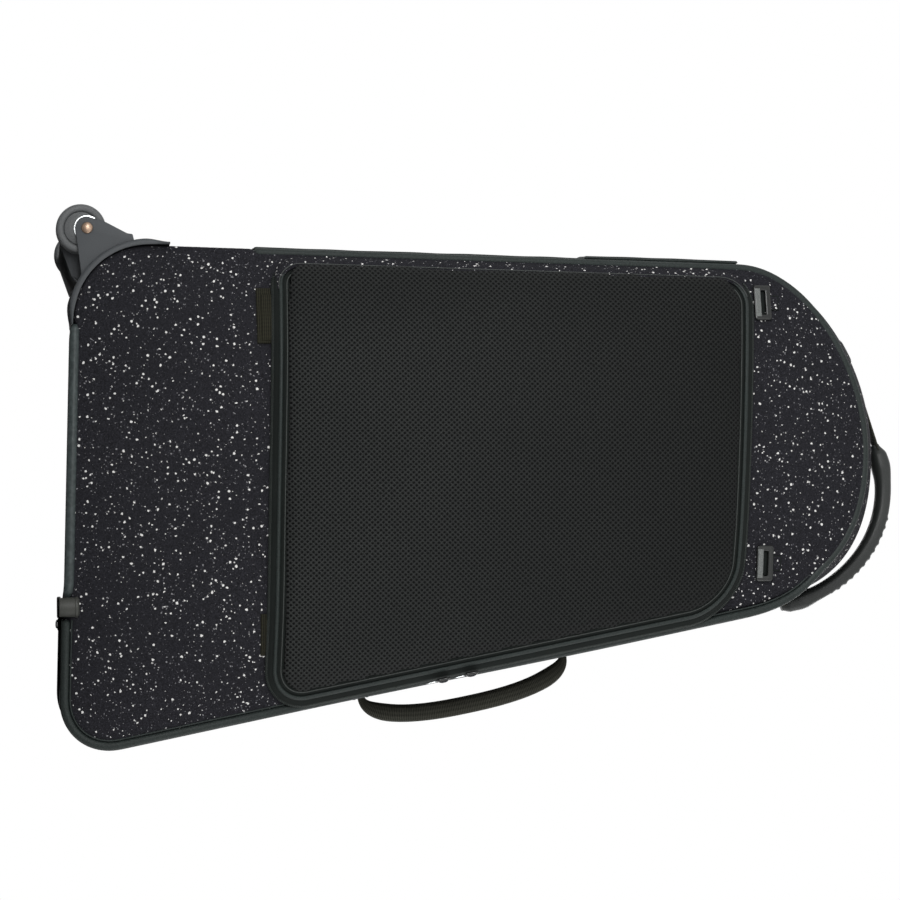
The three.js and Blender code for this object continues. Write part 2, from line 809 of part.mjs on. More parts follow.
const wheelDrill = (x, z, radius) => {
  const circle = ringSection(radius, wheelSides).map(([across, up]) => [x + across, z + up]);
  return prism(circle, flangeNearY - cutOverrun, flangeFarY + cutOverrun);
};
const earPlates = Object.entries(wheelYs).flatMap(([side, y]) => {
  const outward = side === "near" ? -1 : 1;
  const from = tyreHalfWidth + earClear;
  const plate = (shape, way, drill) => {
    const ends = [y + way * from, y + way * (from + earThickness)].sort((a, b) => a - b);
    return prism(flat(shape), ...ends).subtract(drill);
  };
  return [
    plate(outerEar, outward, wheelDrill(boss.x, boss.z, rivetRadius + seatGap)),
    plate(innerEar, -outward, wheelDrill(wheelX, wheelRadius, axleRadius + seatGap)),
  ];
});
const innerReach = tyreHalfWidth + earClear + earThickness;
const webReach = innerReach - earThickness / 2;
const web = prism(skidWeb, wheelYs.near + webReach, wheelYs.far - webReach);
const columnOut = flangeLift + flangeThickness / 2;
const cornerColumn = prism(
  flangeRun.map((s) => [s.x + s.nx * columnOut, s.z + s.nz * columnOut]).concat([[0, flangeTopZ]]),
  flangeNearY - cutOverrun,
  flangeFarY + cutOverrun,
);
const trimmed = [web, ...earPlates].map((plate) => plate.subtract(cornerColumn));
const bracket = wasm.Manifold.union([solid(flange), ...trimmed]);
add("wheel_bracket", bracket, mouldedGrey);

// A turned piece about a line along Y: a profile of [radius, y] corners
function turned(profile, x, y, z, sides) {
  const points = profile.map(([radius, along]) => new THREE.Vector2(radius, along));
  const lathe = new THREE.LatheGeometry([...points, points[0]], sides);
  return solid(lathe.translate(x, y, z));
}
for (const [side, y] of Object.entries(wheelYs)) {
  const outward = side === "near" ? -1 : 1;
  const facing = (profile) => profile.map(([radius, along]) => [radius, along * outward]);
  const turn = (profile, x, z, sides) => {
    const points = facing(profile);
    return turned(outward > 0 ? points : points.toReversed(), x, y, z, sides);
  };
  const tyre = [
    [tyreBore, -tyreHalfWidth],
    [tyreEdgeRadius, -tyreHalfWidth],
    [tyreShoulder.radius, -tyreShoulder.half],
    [wheelRadius, -tyreFlat],
    [wheelRadius, tyreFlat],
    [tyreShoulder.radius, tyreShoulder.half],
    [tyreEdgeRadius, tyreHalfWidth],
    [tyreBore, tyreHalfWidth],
  ];
  const hubFace = hubHalfWidth - hubDish;
  const hub = [
    [axleRadius + seatGap, -hubHalfWidth],
    [tyreBore - seatGap, -hubHalfWidth],
    [tyreBore - seatGap, hubFace],
    [axleRadius + seatGap, hubFace],
  ];
  const axleTip = hubHalfWidth - axleTipSetback;
  const axleSeat = innerReach + seatGap;
  const axle = [
    [0, -axleSeat - axleHeadDepth],
    [axleHeadRadius, -axleSeat - axleHeadDepth],
    [axleHeadRadius, -axleSeat],
    [axleRadius, -axleSeat],
    [axleRadius, axleTip],
    [0, axleTip],
  ];
  const earInner = tyreHalfWidth + earClear;
  const retainer = [
    [rivetRadius + seatGap, earInner - retainerGap - retainerThickness],
    [retainerRadius, earInner - retainerGap - retainerThickness],
    [retainerRadius, earInner - retainerGap],
    [rivetRadius + seatGap, earInner - retainerGap],
  ];
  const tailStart = earInner - retainerGap - retainerThickness - seatGap;
  const rivet = [
    [0, tailStart - rivetTailDepth],
    [rivetTailRadius, tailStart - rivetTailDepth],
    [rivetTailRadius, tailStart],
    [rivetRadius, tailStart],
    [rivetRadius, innerReach + seatGap],
    [rivetHeadRadius, innerReach + seatGap],
    [rivetHeadRadius * roundShare, innerReach + seatGap + rivetHeadDepth],
    [0, innerReach + seatGap + rivetHeadDepth],
  ];
  add("tyre_" + side, turn(tyre, wheelX, wheelRadius, wheelSides), wheelGrey);
  add("hub_" + side, turn(hub, wheelX, wheelRadius, wheelSides), wheelGrey);
  add("axle_" + side, turn(axle, wheelX, wheelRadius, rivetSides), bareSteel);
  add("retainer_" + side, turn(retainer, boss.x, boss.z, wheelSides), bareSteel);
  add("rivet_" + side, turn(rivet, boss.x, boss.z, rivetSides), rivetMetal);
}

// Mesh panel
const panelCorner = (x, z, before, after) => ({
  x,
  z,
  before,
  after,
  fullness: roundShare,
  steps: panelCornerSteps,
});
const panelLeft = (z) => hingeSideX(z) + panelInsetHingeSide;
const panelRight = (z) => handleSideX(z) - panelInsetHandleSide;
const panelTop = caseTop - panelTopSetback;
const panelEnds = {
  top: { hinge: panelTop, handle: panelTop - panelTopDrop },
  base: { hinge: panelBase + panelBaseRise, handle: panelBase },
};
const panelCorners = [
  panelCorner(panelLeft(panelEnds.top.hinge), panelEnds.top.hinge, hingeTopRun, hingeTopRun),
  panelCorner(panelRight(panelEnds.top.handle), panelEnds.top.handle, handleTopRun, handleTopRun),
  panelCorner(panelRight(panelEnds.base.handle), panelEnds.base.handle, handleBaseRun, handleBaseRun),
  panelCorner(panelLeft(panelEnds.base.hinge), panelEnds.base.hinge, hingeBaseRun, hingeBaseRun),
];
// Height of the panel's top or base edge at a place across.
function panelEndAt({ hinge, handle }, x) {
  const start = panelLeft(hinge);
  return mix(hinge, handle, (x - start) / (panelRight(handle) - start));
}
const panelOutline = roundedOutline(panelCorners, panelSideSteps);
const panelOffset = (out) => panelOutline.samples.map((s) => [s.x + s.nx * out, s.z + s.nz * out]);
const gussetOuter = panelOffset(-gussetInset);
const gussetInner = panelOffset(-gussetInset - gussetWidth);
add("panel_gusset", draped(gussetOuter, seatGap, gussetHeight, [gussetInner]), satinBinding);
const padBase = gussetHeight + seatGap;
add("mesh_panel", draped(gussetOuter, padBase, padBase + padThickness), meshFabric);
const pipingPoint = (sample, across, along) => {
  const out = pipingOut + across;
  const middle = { x: sample.x + sample.nx * pipingOut, z: sample.z + sample.nz * pipingOut };
  return new THREE.Vector3(
    sample.x + sample.nx * out,
    faceDepth(middle) - pipingHeight + along,
    sample.z + sample.nz * out,
  );
};
// It runs round the three zipped sides and ends where the flap is sewn down on the hinge side.
const pipingEnd = panelOutline.samples.indexOf(panelOutline.rounds[3].at(-2));
const piping = panelOutline.samples
  .slice(1, pipingEnd + 1)
  .map((sample) => (across, along) => pipingPoint(sample, across, along));
add("panel_piping", swept(ringSection(pipingRadius, rollSides), piping), satinBinding);

// Sliders on the handle side of the panel's edge
const panelSide = panelOutline.sides[1];
const panelAt = (z) => panelOutline.sample(panelSide, (z - panelSide.v1.y) / (panelSide.v2.y - panelSide.v1.y));
const pipingFlat = pipingRadius * Math.cos(halfSide);
const panelSliderSection = [
  [skirtLift, -panelSliderWidth],
  [sliderRise, -panelSliderWidth],
  [sliderRise, panelSliderWidth],
  [skirtLift, panelSliderWidth],
];
for (const [name, z] of Object.entries(panelSliderZ)) {
  const sample = panelAt(z);
  const origin = pipingPoint(sample, pipingFlat, 0);
  const run = pipingPoint(panelAt(z - sliderLength), pipingFlat, 0).sub(origin).normalize();
  addSlider("panel_slider_" + name, frameAt(origin, run, outOf(sample)), panelSliderSection);
}

// Strap anchors, stowed shoulder straps and the loops that the straps run up to
const rectangle = (x, z, halfWidth, halfHeight) => [
  [x - halfWidth, z - halfHeight],
  [x + halfWidth, z - halfHeight],
  [x + halfWidth, z + halfHeight],
  [x - halfWidth, z + halfHeight],
];
for (const [side, { from, to }] of Object.entries(anchorSpans)) {
  const top = (x) => panelEndAt(panelEnds.base, x) - anchorTopGap + gussetInset;
  const footprint = [
    [from, panelBase - anchorLength],
    [to, panelBase - anchorLength],
    [to, top(to)],
    [from, top(from)],
  ];
  add("strap_anchor_" + side, draped(footprint, seatGap, seatGap + anchorThickness), webbing);
}
for (const [side, { base, top }] of Object.entries(strapLines)) {
  const half = strapWidth / 2;
  const footprint = [
    [base - half, panelBase + strapBaseGap],
    [base + half, panelBase + strapBaseGap],
    [top + half, panelTop - strapTopGap],
    [top - half, panelTop - strapTopGap],
  ];
  add("shoulder_strap_" + side, draped(footprint, seatGap, seatGap + strapThickness), foam);
}
for (const [side, { x, above }] of Object.entries(loopPlaces)) {
  const z = panelEndAt(panelEnds.top, x) + above;
  const tongueHalf = loopTongueWidth / 2;
  const footprint = [
    [x - loopWidth / 2, z],
    [x + loopWidth / 2, z],
    [x + loopWidth / 2, z + loopLength],
    [x + tongueHalf, z + loopLength],
    [x + tongueHalf, z + loopLength + loopTongueLength],
    [x - tongueHalf, z + loopLength + loopTongueLength],
    [x - tongueHalf, z + loopLength],
    [x - loopWidth / 2, z + loopLength],
  ];
  const slot = rectangle(x, z + loopSlotStart + loopSlotLength / 2, loopSlotWidth / 2, loopSlotLength / 2);
  add("strap_loop_" + side, draped(footprint, seatGap, seatGap + loopThickness, [slot]), glossBlack);
}

// Carry handle: an arch between two mounts on the side wall
const handleLow = handleAt(handleLowZ);
const handleHigh = handleAt(handleHighZ);
const handleOut = outOf(handleLow);
const handleRun = runOf(handleLow).negate();
const handleSpan = Math.hypot(handleHigh.x - handleLow.x, handleHigh.z - handleLow.z);
const handleFrame = frameAt(atDepth(handleLow, sideBulge, 0), handleRun, handleOut);
const handleStations = Array.from({ length: handleSteps + 1 }, (_, i) => {
  const turn = Math.PI * (1 - i / handleSteps);
  const squared = (value) => Math.sign(value) * Math.abs(value) ** (2 / handlePower);
  const along = (handleSpan / 2) * (1 + squared(Math.cos(turn)));
  const lift = handleEndLift + (handleBow - handleEndLift) * squared(Math.abs(Math.sin(turn)));
  return new THREE.Vector2(along, lift);
});
const handleTube = handleStations.map((here, i, all) => {
  const before = all[Math.max(i - 1, 0)];
  const after = all[Math.min(i + 1, all.length - 1)];
  const tip = i === 0 || i === all.length - 1;
  const way = tip ? new THREE.Vector2(0, i ? -1 : 1) : after.clone().sub(before).normalize();
  const grown = THREE.MathUtils.smoothstep(here.y, handleEndRun, handleEndRun + handleGrowRun);
  const share = mix(handleEndRadius, handleRadius, grown) / handleRadius;
  return (across, along) =>
    handleFrame(here.x - way.y * across * share, here.y + way.x * across * share, along * share);
});
const trunnions = [0, handleSpan].map((along) =>
  solid(
    swept(
      ringSection(trunnionRadius, pinSides),
      [-1, 1].map((side) => (o, d) => handleFrame(along + side * (cheekEnd - seatGap), handleEndLift + o, d)),
    ),
  ),
);
const handleGrip = solid(swept(ringSection(handleRadius, rollSides), handleTube));
const handleBody = wasm.Manifold.union([handleGrip, ...trunnions]);
add("side_handle", handleBody, gripRubber);
const mountPlaces = { lower: 0, upper: handleSpan };
for (const [name, along] of Object.entries(mountPlaces)) {
  const plateTop = seatGap + mountThickness;
  const plate = block(
    handleFrame,
    [along - mountLength / 2, seatGap, -mountWidth / 2],
    [along + mountLength / 2, plateTop, mountWidth / 2],
  );
  const cheeks = [-1, 1].map((side) => {
    const [from, to] = [along + side * cheekStart, along + side * cheekEnd].sort((a, b) => a - b);
    return block(
      handleFrame,
      [from, plateTop - seatGap, -handleEndRadius],
      [to, cheekLift, handleEndRadius],
    );
  });
  const bore = solid(
    swept(
      ringSection(trunnionRadius + seatGap, pinSides),
      [-1, 1].map((side) => (o, d) => handleFrame(along + side * (cheekEnd + seatGap), handleEndLift + o, d)),
    ),
  );
  add("handle_mount_" + name, wasm.Manifold.union([plate, ...cheeks]).subtract(bore), webbing);
}

// Grip and its strap
const gripPath = [gripStart, gripStartPull, gripEndPull, gripEnd];
const gripLine = new THREE.CubicBezierCurve(...gripPath.map(({ x, z }) => new THREE.Vector2(x, z)));
const gripCount = gripRidges * 2 + 1;
const gripStation = (share, grow) => {
  const here = gripLine.getPoint(share);
  const way = gripLine.getTangent(share);
  return (across, along) =>
    new THREE.Vector3(here.x - way.y * across * grow, gripY + along, here.y + way.x * across * grow);
};
const gripStations = Array.from({ length: gripCount }, (_, i) => {
  const share = i / (gripCount - 1);
  const grow = mix(gripEndShare, 1, Math.sin(Math.PI * share) ** gripBevelShare);
  const ridged = gripStation(share, grow);
  const ridge = i % 2 ? gripRidge : 0;
  return (across, along) => ridged(across + (across > 0 ? ridge : 0), along);
});
const bevel = gripHalfThickness * gripBevelShare;
const gripSection = [
  [-gripHalfThickness, -gripHalfWidth + bevel],
  [-gripHalfThickness, gripHalfWidth - bevel],
  [-bevel, gripHalfWidth],
  [bevel, gripHalfWidth],
  [gripHalfThickness, gripHalfWidth - bevel],
  [gripHalfThickness, -gripHalfWidth + bevel],
  [bevel, -gripHalfWidth],
  [-bevel, -gripHalfWidth],
];
const band = (halfThickness, halfWidth) => [
  [-halfThickness, -halfWidth],
  [halfThickness, -halfWidth],
  [halfThickness, halfWidth],
  [-halfThickness, halfWidth],
];
const domeStation = (share) => {
  const curve = share < 0 ? caseOutline.curves[0] : caseOutline.curves[1];
  const sample = caseOutline.sample(curve, share < 0 ? 1 + share : share);
  return (across, along) => atDepth(sample, wallAtSplit(sample) + gripStrapLift + across, gripY + along);
};
const gripStrapRun = [
  ...gripStrapShares.first.map(domeStation),
  ...gripStations.map((_, i) => gripStation(i / (gripCount - 1), 1)),
  ...gripStrapShares.last.map(domeStation),
];
const gripStrap = swept(band(gripStrapHalfThickness, gripStrapHalfWidth), gripStrapRun);
const gripSlot = swept(band(gripStrapHalfThickness + seatGap, gripStrapHalfWidth + seatGap), gripStrapRun);
add("dome_grip", solid(swept(gripSection, gripStations)).subtract(solid(gripSlot)), gripRubber);
add("grip_strap", gripStrap, webbing);

// Inside: pads cut from the room of the back half, and a band that holds the instrument
const padInset = seatGap + liningThickness + seatGap;
const roomRim = new THREE.Vector3(centre.x, splitDepth - liningSetback, centre.z);
const roomRings = cavityRings(backHalf, padInset, roomRim.y).reverse();
const room = () => solid(poled(facePole(backHalf, wallThickness + padInset), roomRings, roomRim));
const reach = caseTop + cutOverrun;
const bellSeat = solid(
  new THREE.CylinderGeometry(1, 1, bellSeatDepth + cutOverrun, padSides)
    .rotateX(quarterTurn)
    .scale(bellSeatHalf.x, bellSeatHalf.y, 1)
    .translate(bellSeatCentre.x, bellSeatCentre.y, bellPadHeight + (cutOverrun - bellSeatDepth) / 2),
);
const bellPad = room().intersect(box([-reach, -reach, 0], [reach, reach, bellPadHeight])).subtract(bellSeat);
add("bell_pad", bellPad, foam);
const bowSeat = prism(
  ringSection(bowSeatRadius, padSides).map(([x, z]) => [bowSeatCentre.x + x, bowSeatCentre.z + z]),
  -reach,
  reach,
);
const bowPad = room().intersect(box([-reach, -reach, bowPadStart], [reach, reach, reach])).subtract(bowSeat);
add("bow_pad", bowPad, foam);
const bandBox = box(
  [-reach, strapBandY, strapBandZ - strapBandHalf],
  [reach, strapBandY + strapBandThickness, strapBandZ + strapBandHalf],
);
add("instrument_strap", room().intersect(bandBox), webbing);
const aroundBand = (halfLength, gap) =>
  box(
    [buckleX - halfLength, strapBandY - gap, strapBandZ - strapBandHalf - gap],
    [buckleX + halfLength, strapBandY + strapBandThickness + gap, strapBandZ + strapBandHalf + gap],
  );
const buckle = aroundBand(buckleHalf, seatGap + buckleWall);
add("strap_buckle", buckle.subtract(aroundBand(buckleHalf + cutOverrun, seatGap)), glossBlack);

export default model;
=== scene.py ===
# %% [markdown]
# # A wheeled backpack case for a large brass instrument
# The real object is a stiff shell of foam and flecked cloth in two halves. A zip joins the halves,
# and a padded mesh panel covers the carrying back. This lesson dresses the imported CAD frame: each
# soft part gets a finer surface, and each hard part gets its moulding, its metal or its rubber.

import bmesh
import bpy
import numpy as np
from mathutils import Matrix, Vector


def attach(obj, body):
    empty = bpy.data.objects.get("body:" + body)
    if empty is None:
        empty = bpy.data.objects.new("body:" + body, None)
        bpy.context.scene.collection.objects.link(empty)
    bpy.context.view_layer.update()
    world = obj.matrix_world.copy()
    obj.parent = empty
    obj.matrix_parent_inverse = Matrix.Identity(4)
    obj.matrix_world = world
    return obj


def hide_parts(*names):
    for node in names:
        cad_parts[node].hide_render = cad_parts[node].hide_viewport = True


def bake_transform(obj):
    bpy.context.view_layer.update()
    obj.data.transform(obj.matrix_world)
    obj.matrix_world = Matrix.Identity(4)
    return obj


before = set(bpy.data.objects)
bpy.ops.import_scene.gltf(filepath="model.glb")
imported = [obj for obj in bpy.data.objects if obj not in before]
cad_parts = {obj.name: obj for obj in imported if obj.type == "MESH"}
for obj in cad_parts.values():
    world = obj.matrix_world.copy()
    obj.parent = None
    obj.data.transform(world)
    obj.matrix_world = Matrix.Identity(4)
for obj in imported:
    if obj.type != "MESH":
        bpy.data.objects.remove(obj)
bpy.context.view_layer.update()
MM = 0.001

# %% [markdown]
# ## The camera
# The photograph was taken from about three metres with a long lens. The case stands upright in the
# model, so the camera is turned: image right is +Z and image up is -X. The camera comes first,
# because every later judgement is made through it.

# %% Camera at the photograph's angle
camera_place = Vector((0.1304, -3.2653, -0.0289))
camera_aim = Vector((-0.0304, -0.10, 0.4129))
camera_top = Vector((-1.0, 0.0, 0.0152))
camera_lens = 120.756
forward = (camera_aim - camera_place).normalized()
camera_right = forward.cross(camera_top).normalized()
camera_up = camera_right.cross(forward)
camera = bpy.data.objects.new("camera", bpy.data.cameras.new("camera"))
bpy.context.scene.collection.objects.link(camera)
turn = Matrix((camera_right, camera_up, -forward)).transposed()
camera.matrix_world = Matrix.Translation(camera_place) @ turn.to_4x4()
camera.data.lens = camera_lens
camera.data.sensor_width = 36
camera.data.clip_end = 50
bpy.context.scene.camera = camera
print("camera", [round(v, 3) for v in camera_place])

# %% [markdown]
# ## Meshes from arrays
# Every new piece is a grid of points, worked out as one array. One helper turns a grid into a
# closed mesh, so that no piece needs its own loop over vertices. Lengths are in millimetres until
# the points reach the mesh, because the real parts are sold in millimetres.

# %% One helper for all grids
def smoothstep(value, low, high):
    """0 below low, 1 above high, and 3t^2 - 2t^3 between, where t is the share of the way."""
    t = np.clip((value - low) / (high - low), 0, 1)
    return t * t * (3 - 2 * t)


def mix(a, b, share):
    return a + (b - a) * share


def whole_turn(sides):
    """Even angles round a circle, without the last one, which is the first again."""
    return np.linspace(0, 2 * np.pi, sides, endpoint=False)


def quarter_round(share):
    """Rises from 0 to 1 over a quarter circle."""
    return np.sqrt(1 - (1 - np.clip(share, 0, 1)) ** 2)


def hump(value, middle, width):
    return np.exp(-(((value - middle) / width) ** 2))


def squared_circle(turn, power):
    """Points of |u|^power + |v|^power = 1: a circle at power 2, nearly a square at 6."""
    circle = np.array([np.cos(turn), np.sin(turn)])
    return np.sign(circle) * np.abs(circle) ** (2 / power)


def signed_volume(points, quads):
    """Six times the volume: the sum of each triangle's corner products, negative if inside out."""
    a, b, c, d = (points[quads[:, k]] for k in range(4))
    return np.einsum("ij,ij", a, np.cross(b, c)) + np.einsum("ij,ij", a, np.cross(c, d))


def mesh_from(name, points, faces, uv=None, sharp=None):
    """A smooth mesh of points and lists of equal-sided faces, with a UV for each corner."""
    mesh = bpy.data.meshes.new(name)
    loops = np.concatenate([f.ravel() for f in faces]).astype(np.int32)
    sizes = np.concatenate([np.full(len(f), f.shape[1]) for f in faces])
    starts = np.concatenate([[0], np.cumsum(sizes)[:-1]]).astype(np.int32)
    mesh.vertices.add(len(points))
    mesh.vertices.foreach_set("co", (points * MM).astype(np.float32).ravel())
    mesh.loops.add(len(loops))
    mesh.loops.foreach_set("vertex_index", loops)
    mesh.polygons.add(len(sizes))
    mesh.polygons.foreach_set("loop_start", starts)
    mesh.update(calc_edges=True)
    mesh.validate()
    if uv is not None:
        layer = mesh.uv_layers.new(name="length")
        layer.data.foreach_set("uv", np.concatenate(uv).astype(np.float32).ravel())
    mesh.polygons.foreach_set("use_smooth", np.ones(len(mesh.polygons), bool))
    if sharp is not None:
        mesh.set_sharp_from_angle(angle=np.radians(sharp))
    mesh.update()
    piece = bpy.data.objects.new(name, mesh)
    bpy.context.scene.collection.objects.link(piece)
    return piece


def dress(piece, body, finish, nodes=()):
    """The piece takes its finish, rides on its body and stands for CAD nodes."""
    piece.data.materials.clear()
    piece.data.materials.append(finish)
    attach(piece, body)
    if nodes:
        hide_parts(*nodes)
    return piece


def mean_lengths(grid, axis):
    """Lengths along one axis of a grid, averaged over the other, and one more step for the seam."""
    step = np.linalg.norm(np.diff(grid, axis=axis), axis=2).mean(1 - axis)
    length = np.concatenate([[0], np.cumsum(step)])
    return np.append(length, length[-1] + step.mean())


def surface(name, grid, wrap_rows=False, caps="flat", uv="length", sharp=None):
    """A closed mesh over a grid of [row, column, xyz], whose columns close on themselves. The rows
    do too, or else each end row closes with one flat face or with a pole at its middle. The UV map
    holds lengths along and across the piece or, with uv="place", how high and wide a point is."""
    rows, columns, _ = grid.shape
    points = grid.reshape(-1, 3)
    row = np.arange(rows if wrap_rows else rows - 1)[:, None]
    column = np.arange(columns)[None, :]
    next_row, next_column = (row + 1) % rows, (column + 1) % columns
    around = ((row, column), (row, next_column), (next_row, next_column), (next_row, column))
    quads = np.stack([r * columns + c for r, c in around], -1).reshape(-1, 4)
    if uv == "place":
        corners = points[quads][..., [2, 0]] * MM
    else:
        along, across = mean_lengths(grid, 0), mean_lengths(grid, 1)
        r, c = np.broadcast_arrays(row, column)
        steps = ((0, 0), (0, 1), (1, 1), (1, 0))
        corners = np.stack([np.stack([along[r + i], across[c + j]], -1) for i, j in steps], 2)
        corners = corners.reshape(-1, 4, 2) * MM
    order = -1 if signed_volume(points - points.mean(0), quads) < 0 else 1
    faces, uvs = [quads[:, ::order]], [corners[:, ::order].reshape(-1, 2)]
    if not wrap_rows:
        here, last_row = np.arange(columns), (rows - 1) * columns
        if caps == "flat":
            ends = np.stack([here[::-1], last_row + here])
        else:
            pole = np.full(columns, len(points))
            after = (here + 1) % columns
            points = np.vstack([points, grid[0].mean(0), grid[-1].mean(0)])
            low_fan = np.stack([pole, after, here], -1)
            high_fan = np.stack([pole + 1, last_row + here, last_row + after], -1)
            ends = np.concatenate([low_fan, high_fan])
        ends = ends[:, ::order]
        faces.append(ends)
        uvs.append(points[ends.ravel()][:, [2, 0]] * MM)
    return mesh_from(name, points, faces, uvs, sharp)

# %% [markdown]
# ## The outline of the case
# The back is a polygon with rounded corners: a wide base, two leaning sides and a dome. Each
# corner is a cubic curve, and straight sides join them. Sampling it evenly by arc length gives one
# row of points that the shell, its edge rolls, the zip and the strips all share, so they fit
# without gaps.

# %% Rounded outlines, evenly sampled
def rounded_outline(corners, count):
    """Even samples of a polygon with rounded corners. A corner is (x, z, run before, run after,
    fullness) and becomes the cubic B(t) = (1-t)^3 a + 3(1-t)^2 t b + 3(1-t) t^2 c + t^3 d. The
    gaps between the corners are straight."""
    corners = np.array(corners, float)
    here = corners[:, :2]
    previous, following = np.roll(here, 1, 0), np.roll(here, -1, 0)

    def toward(target, run):
        way = target - here
        return here + way / np.linalg.norm(way, axis=1)[:, None] * run[:, None]

    start, end = toward(previous, corners[:, 2]), toward(following, corners[:, 3])
    fullness = corners[:, 4:5]
    second, third = mix(start, here, fullness), mix(end, here, fullness)
    t = np.linspace(0, 1, 60)[None, :, None]
    a, b, c, d = (v[:, None, :] for v in (start, second, third, end))
    rounds = (1 - t) ** 3 * a + 3 * (1 - t) ** 2 * t * b + 3 * (1 - t) * t**2 * c + t**3 * d
    path = rounds.reshape(-1, 2)
    closed = np.vstack([path, path[:1]])
    length = np.concatenate([[0], np.cumsum(np.linalg.norm(np.diff(closed, axis=0), axis=1))])
    keep = np.concatenate([[True], np.diff(length) > 1e-9])
    at = np.linspace(0, length[-1], count, endpoint=False)
    points = np.stack([np.interp(at, length[keep], closed[keep, k]) for k in (0, 1)], 1)
    return {**outline_of(points, closed=True), "rounds": rounds}


def outline_of(points, closed=False):
    """Points with outward normals (-dz, dx) of the central difference, and their arc lengths."""
    if closed:
        way = np.roll(points, -1, 0) - np.roll(points, 1, 0)
    else:
        way = np.gradient(points, axis=0)
    way /= np.linalg.norm(way, axis=1)[:, None]
    step = np.linalg.norm(np.diff(points, axis=0), axis=1)
    return {
        "p": points,
        "n": np.stack([-way[:, 1], way[:, 0]], 1),
        "s": np.concatenate([[0], np.cumsum(step)]),
    }


def part_of(line, keep):
    """The samples that an index array picks, with arc length measured again."""
    chosen = line["p"][keep]
    step = np.linalg.norm(np.diff(chosen, axis=0), axis=1)
    return {"p": chosen, "n": line["n"][keep], "s": np.concatenate([[0], np.cumsum(step)])}


def even(line, spacing):
    """The same line with samples a given arc length apart."""
    count = max(int(round(line["s"][-1] / spacing)), 2)
    at = np.linspace(0, line["s"][-1], count + 1)
    place, normal = (
        np.stack([np.interp(at, line["s"], line[key][:, k]) for k in (0, 1)], 1) for key in "pn"
    )
    normal /= np.linalg.norm(normal, axis=1)[:, None]
    return {"p": place, "n": normal, "s": at}


def from_ends(line):
    """How far each sample of an open line is from the nearer end."""
    return np.minimum(line["s"], line["s"][-1] - line["s"])


def ways(line):
    """Along, out and deep unit vectors at each sample of a line in the XZ plane."""
    out = np.stack([line["n"][:, 0], 0 * line["s"], line["n"][:, 1]], 1)
    along = np.stack([line["n"][:, 1], 0 * line["s"], -line["n"][:, 0]], 1)
    return along, out, np.tile([0.0, 1.0, 0.0], (len(out), 1))


case_top = 866
base_left, base_right = -242, 278
base_low, base_rise = 8.5, 15
base_width = base_right - base_left
left_lean, right_lean = 22, 165
as_a_circle = 0.5523  # the fullness that makes a cubic follow a quarter circle


def hinge_side_x(z):
    return base_left + left_lean * z / case_top


def handle_side_x(z):
    return base_right - right_lean * z / case_top


def base_z(x):
    return base_low + base_rise * (base_right - x) / base_width


top_left, top_right = hinge_side_x(case_top), handle_side_x(case_top)
top_width = top_right - top_left
case_line = rounded_outline(
    [
        (top_left, case_top, 137, top_width * 0.575, 0.505),
        (top_right, case_top, top_width * 0.425, 144, 0.66),
        (handle_side_x(base_low), base_low, 53, 53, as_a_circle),
        (hinge_side_x(base_z(base_left)), base_z(base_left), 74, 74, as_a_circle),
    ],
    520,
)
case_middle = np.array([-5, case_top * 0.49])
print("outline length", round(case_line["s"][-1]), "mm")

# %% [markdown]
# ## Depth of the two halves
# Both faces are crowned like a drum skin that foam pushes out: the height over the edge is crown x
# (1 - share^2), where share runs from 0 in the middle to 1 at the outline. The edge of the back
# leans, so the case is deeper at the base, where the bell is.

# %% Crown, edge and wall as functions
split_y = 132
back = {"way": 1, "crown": 50, "edge": (-150, -100), "grows": True}
front = {"way": -1, "crown": 30, "edge": (172, 158), "grows": False}
dome_swell = 26
side_bulge = 8


def edge_y(half, z):
    return mix(*half["edge"], z / case_top)


def dome_part_of(normal):
    return dome_swell * smoothstep(normal[..., 1], 0.25, 1)


def slim_base(line):
    """1 on the base beside the wheels, where the foam is thin, and 0 past the near foot."""
    return smoothstep(-line["n"][:, 1], 0.5, 0.98) * (1 - smoothstep(line["p"][:, 0], 100, 150))


def swell_of(line):
    return dome_part_of(line["n"]) - 4 * slim_base(line)


def handle_share(line):
    """1 on the handle side and past the near foot, where the binding is full, and 0 elsewhere."""
    side = smoothstep(line["n"][:, 0], 0.75, 0.97)
    corner = smoothstep(line["p"][:, 0], 100, 150) * (line["p"][:, 1] < 200)
    return np.maximum(side, corner)


def wall_out(half, line, inside):
    """How far the wall stands out of the outline, `inside` the edge along Y. It starts flat at the
    edge and bulges over the next 70 mm."""
    full = swell_of(line)[None, :]
    tuck = 4.6 * (1 - handle_share(line))[None, :] * (1 - smoothstep(inside, 4, 70))[:, None]
    if not half["grows"]:
        return side_bulge + full + 0 * inside[:, None]
    return side_bulge + full * smoothstep(inside, 5.6, 105.6)[:, None] - tuck


def stand(line, out, y):
    """Points `out` along the outline's normals at depth y. Rows come from the other axis."""
    x = line["p"][:, 0] + line["n"][:, 0] * out
    z = line["p"][:, 1] + line["n"][:, 1] * out
    return np.stack(np.broadcast_arrays(x, y, z), -1)


def at_edge(half, line, out, inside):
    """Points `out` from the outline and `inside` the edge, where the edge follows their height."""
    z = line["p"][:, 1] + line["n"][:, 1] * out
    return stand(line, out, edge_y(half, z) + half["way"] * inside)


def edge_out(half, line):
    if half["grows"]:
        return 0 * line["s"]
    return swell_of(line) - 3 * slim_base(line)


from_middle = case_line["p"] - case_middle
sector = np.arctan2(from_middle[:, 1], from_middle[:, 0])
order = np.argsort(sector)
sector_reach = np.linalg.norm(from_middle, axis=1)[order]
sector = sector[order]


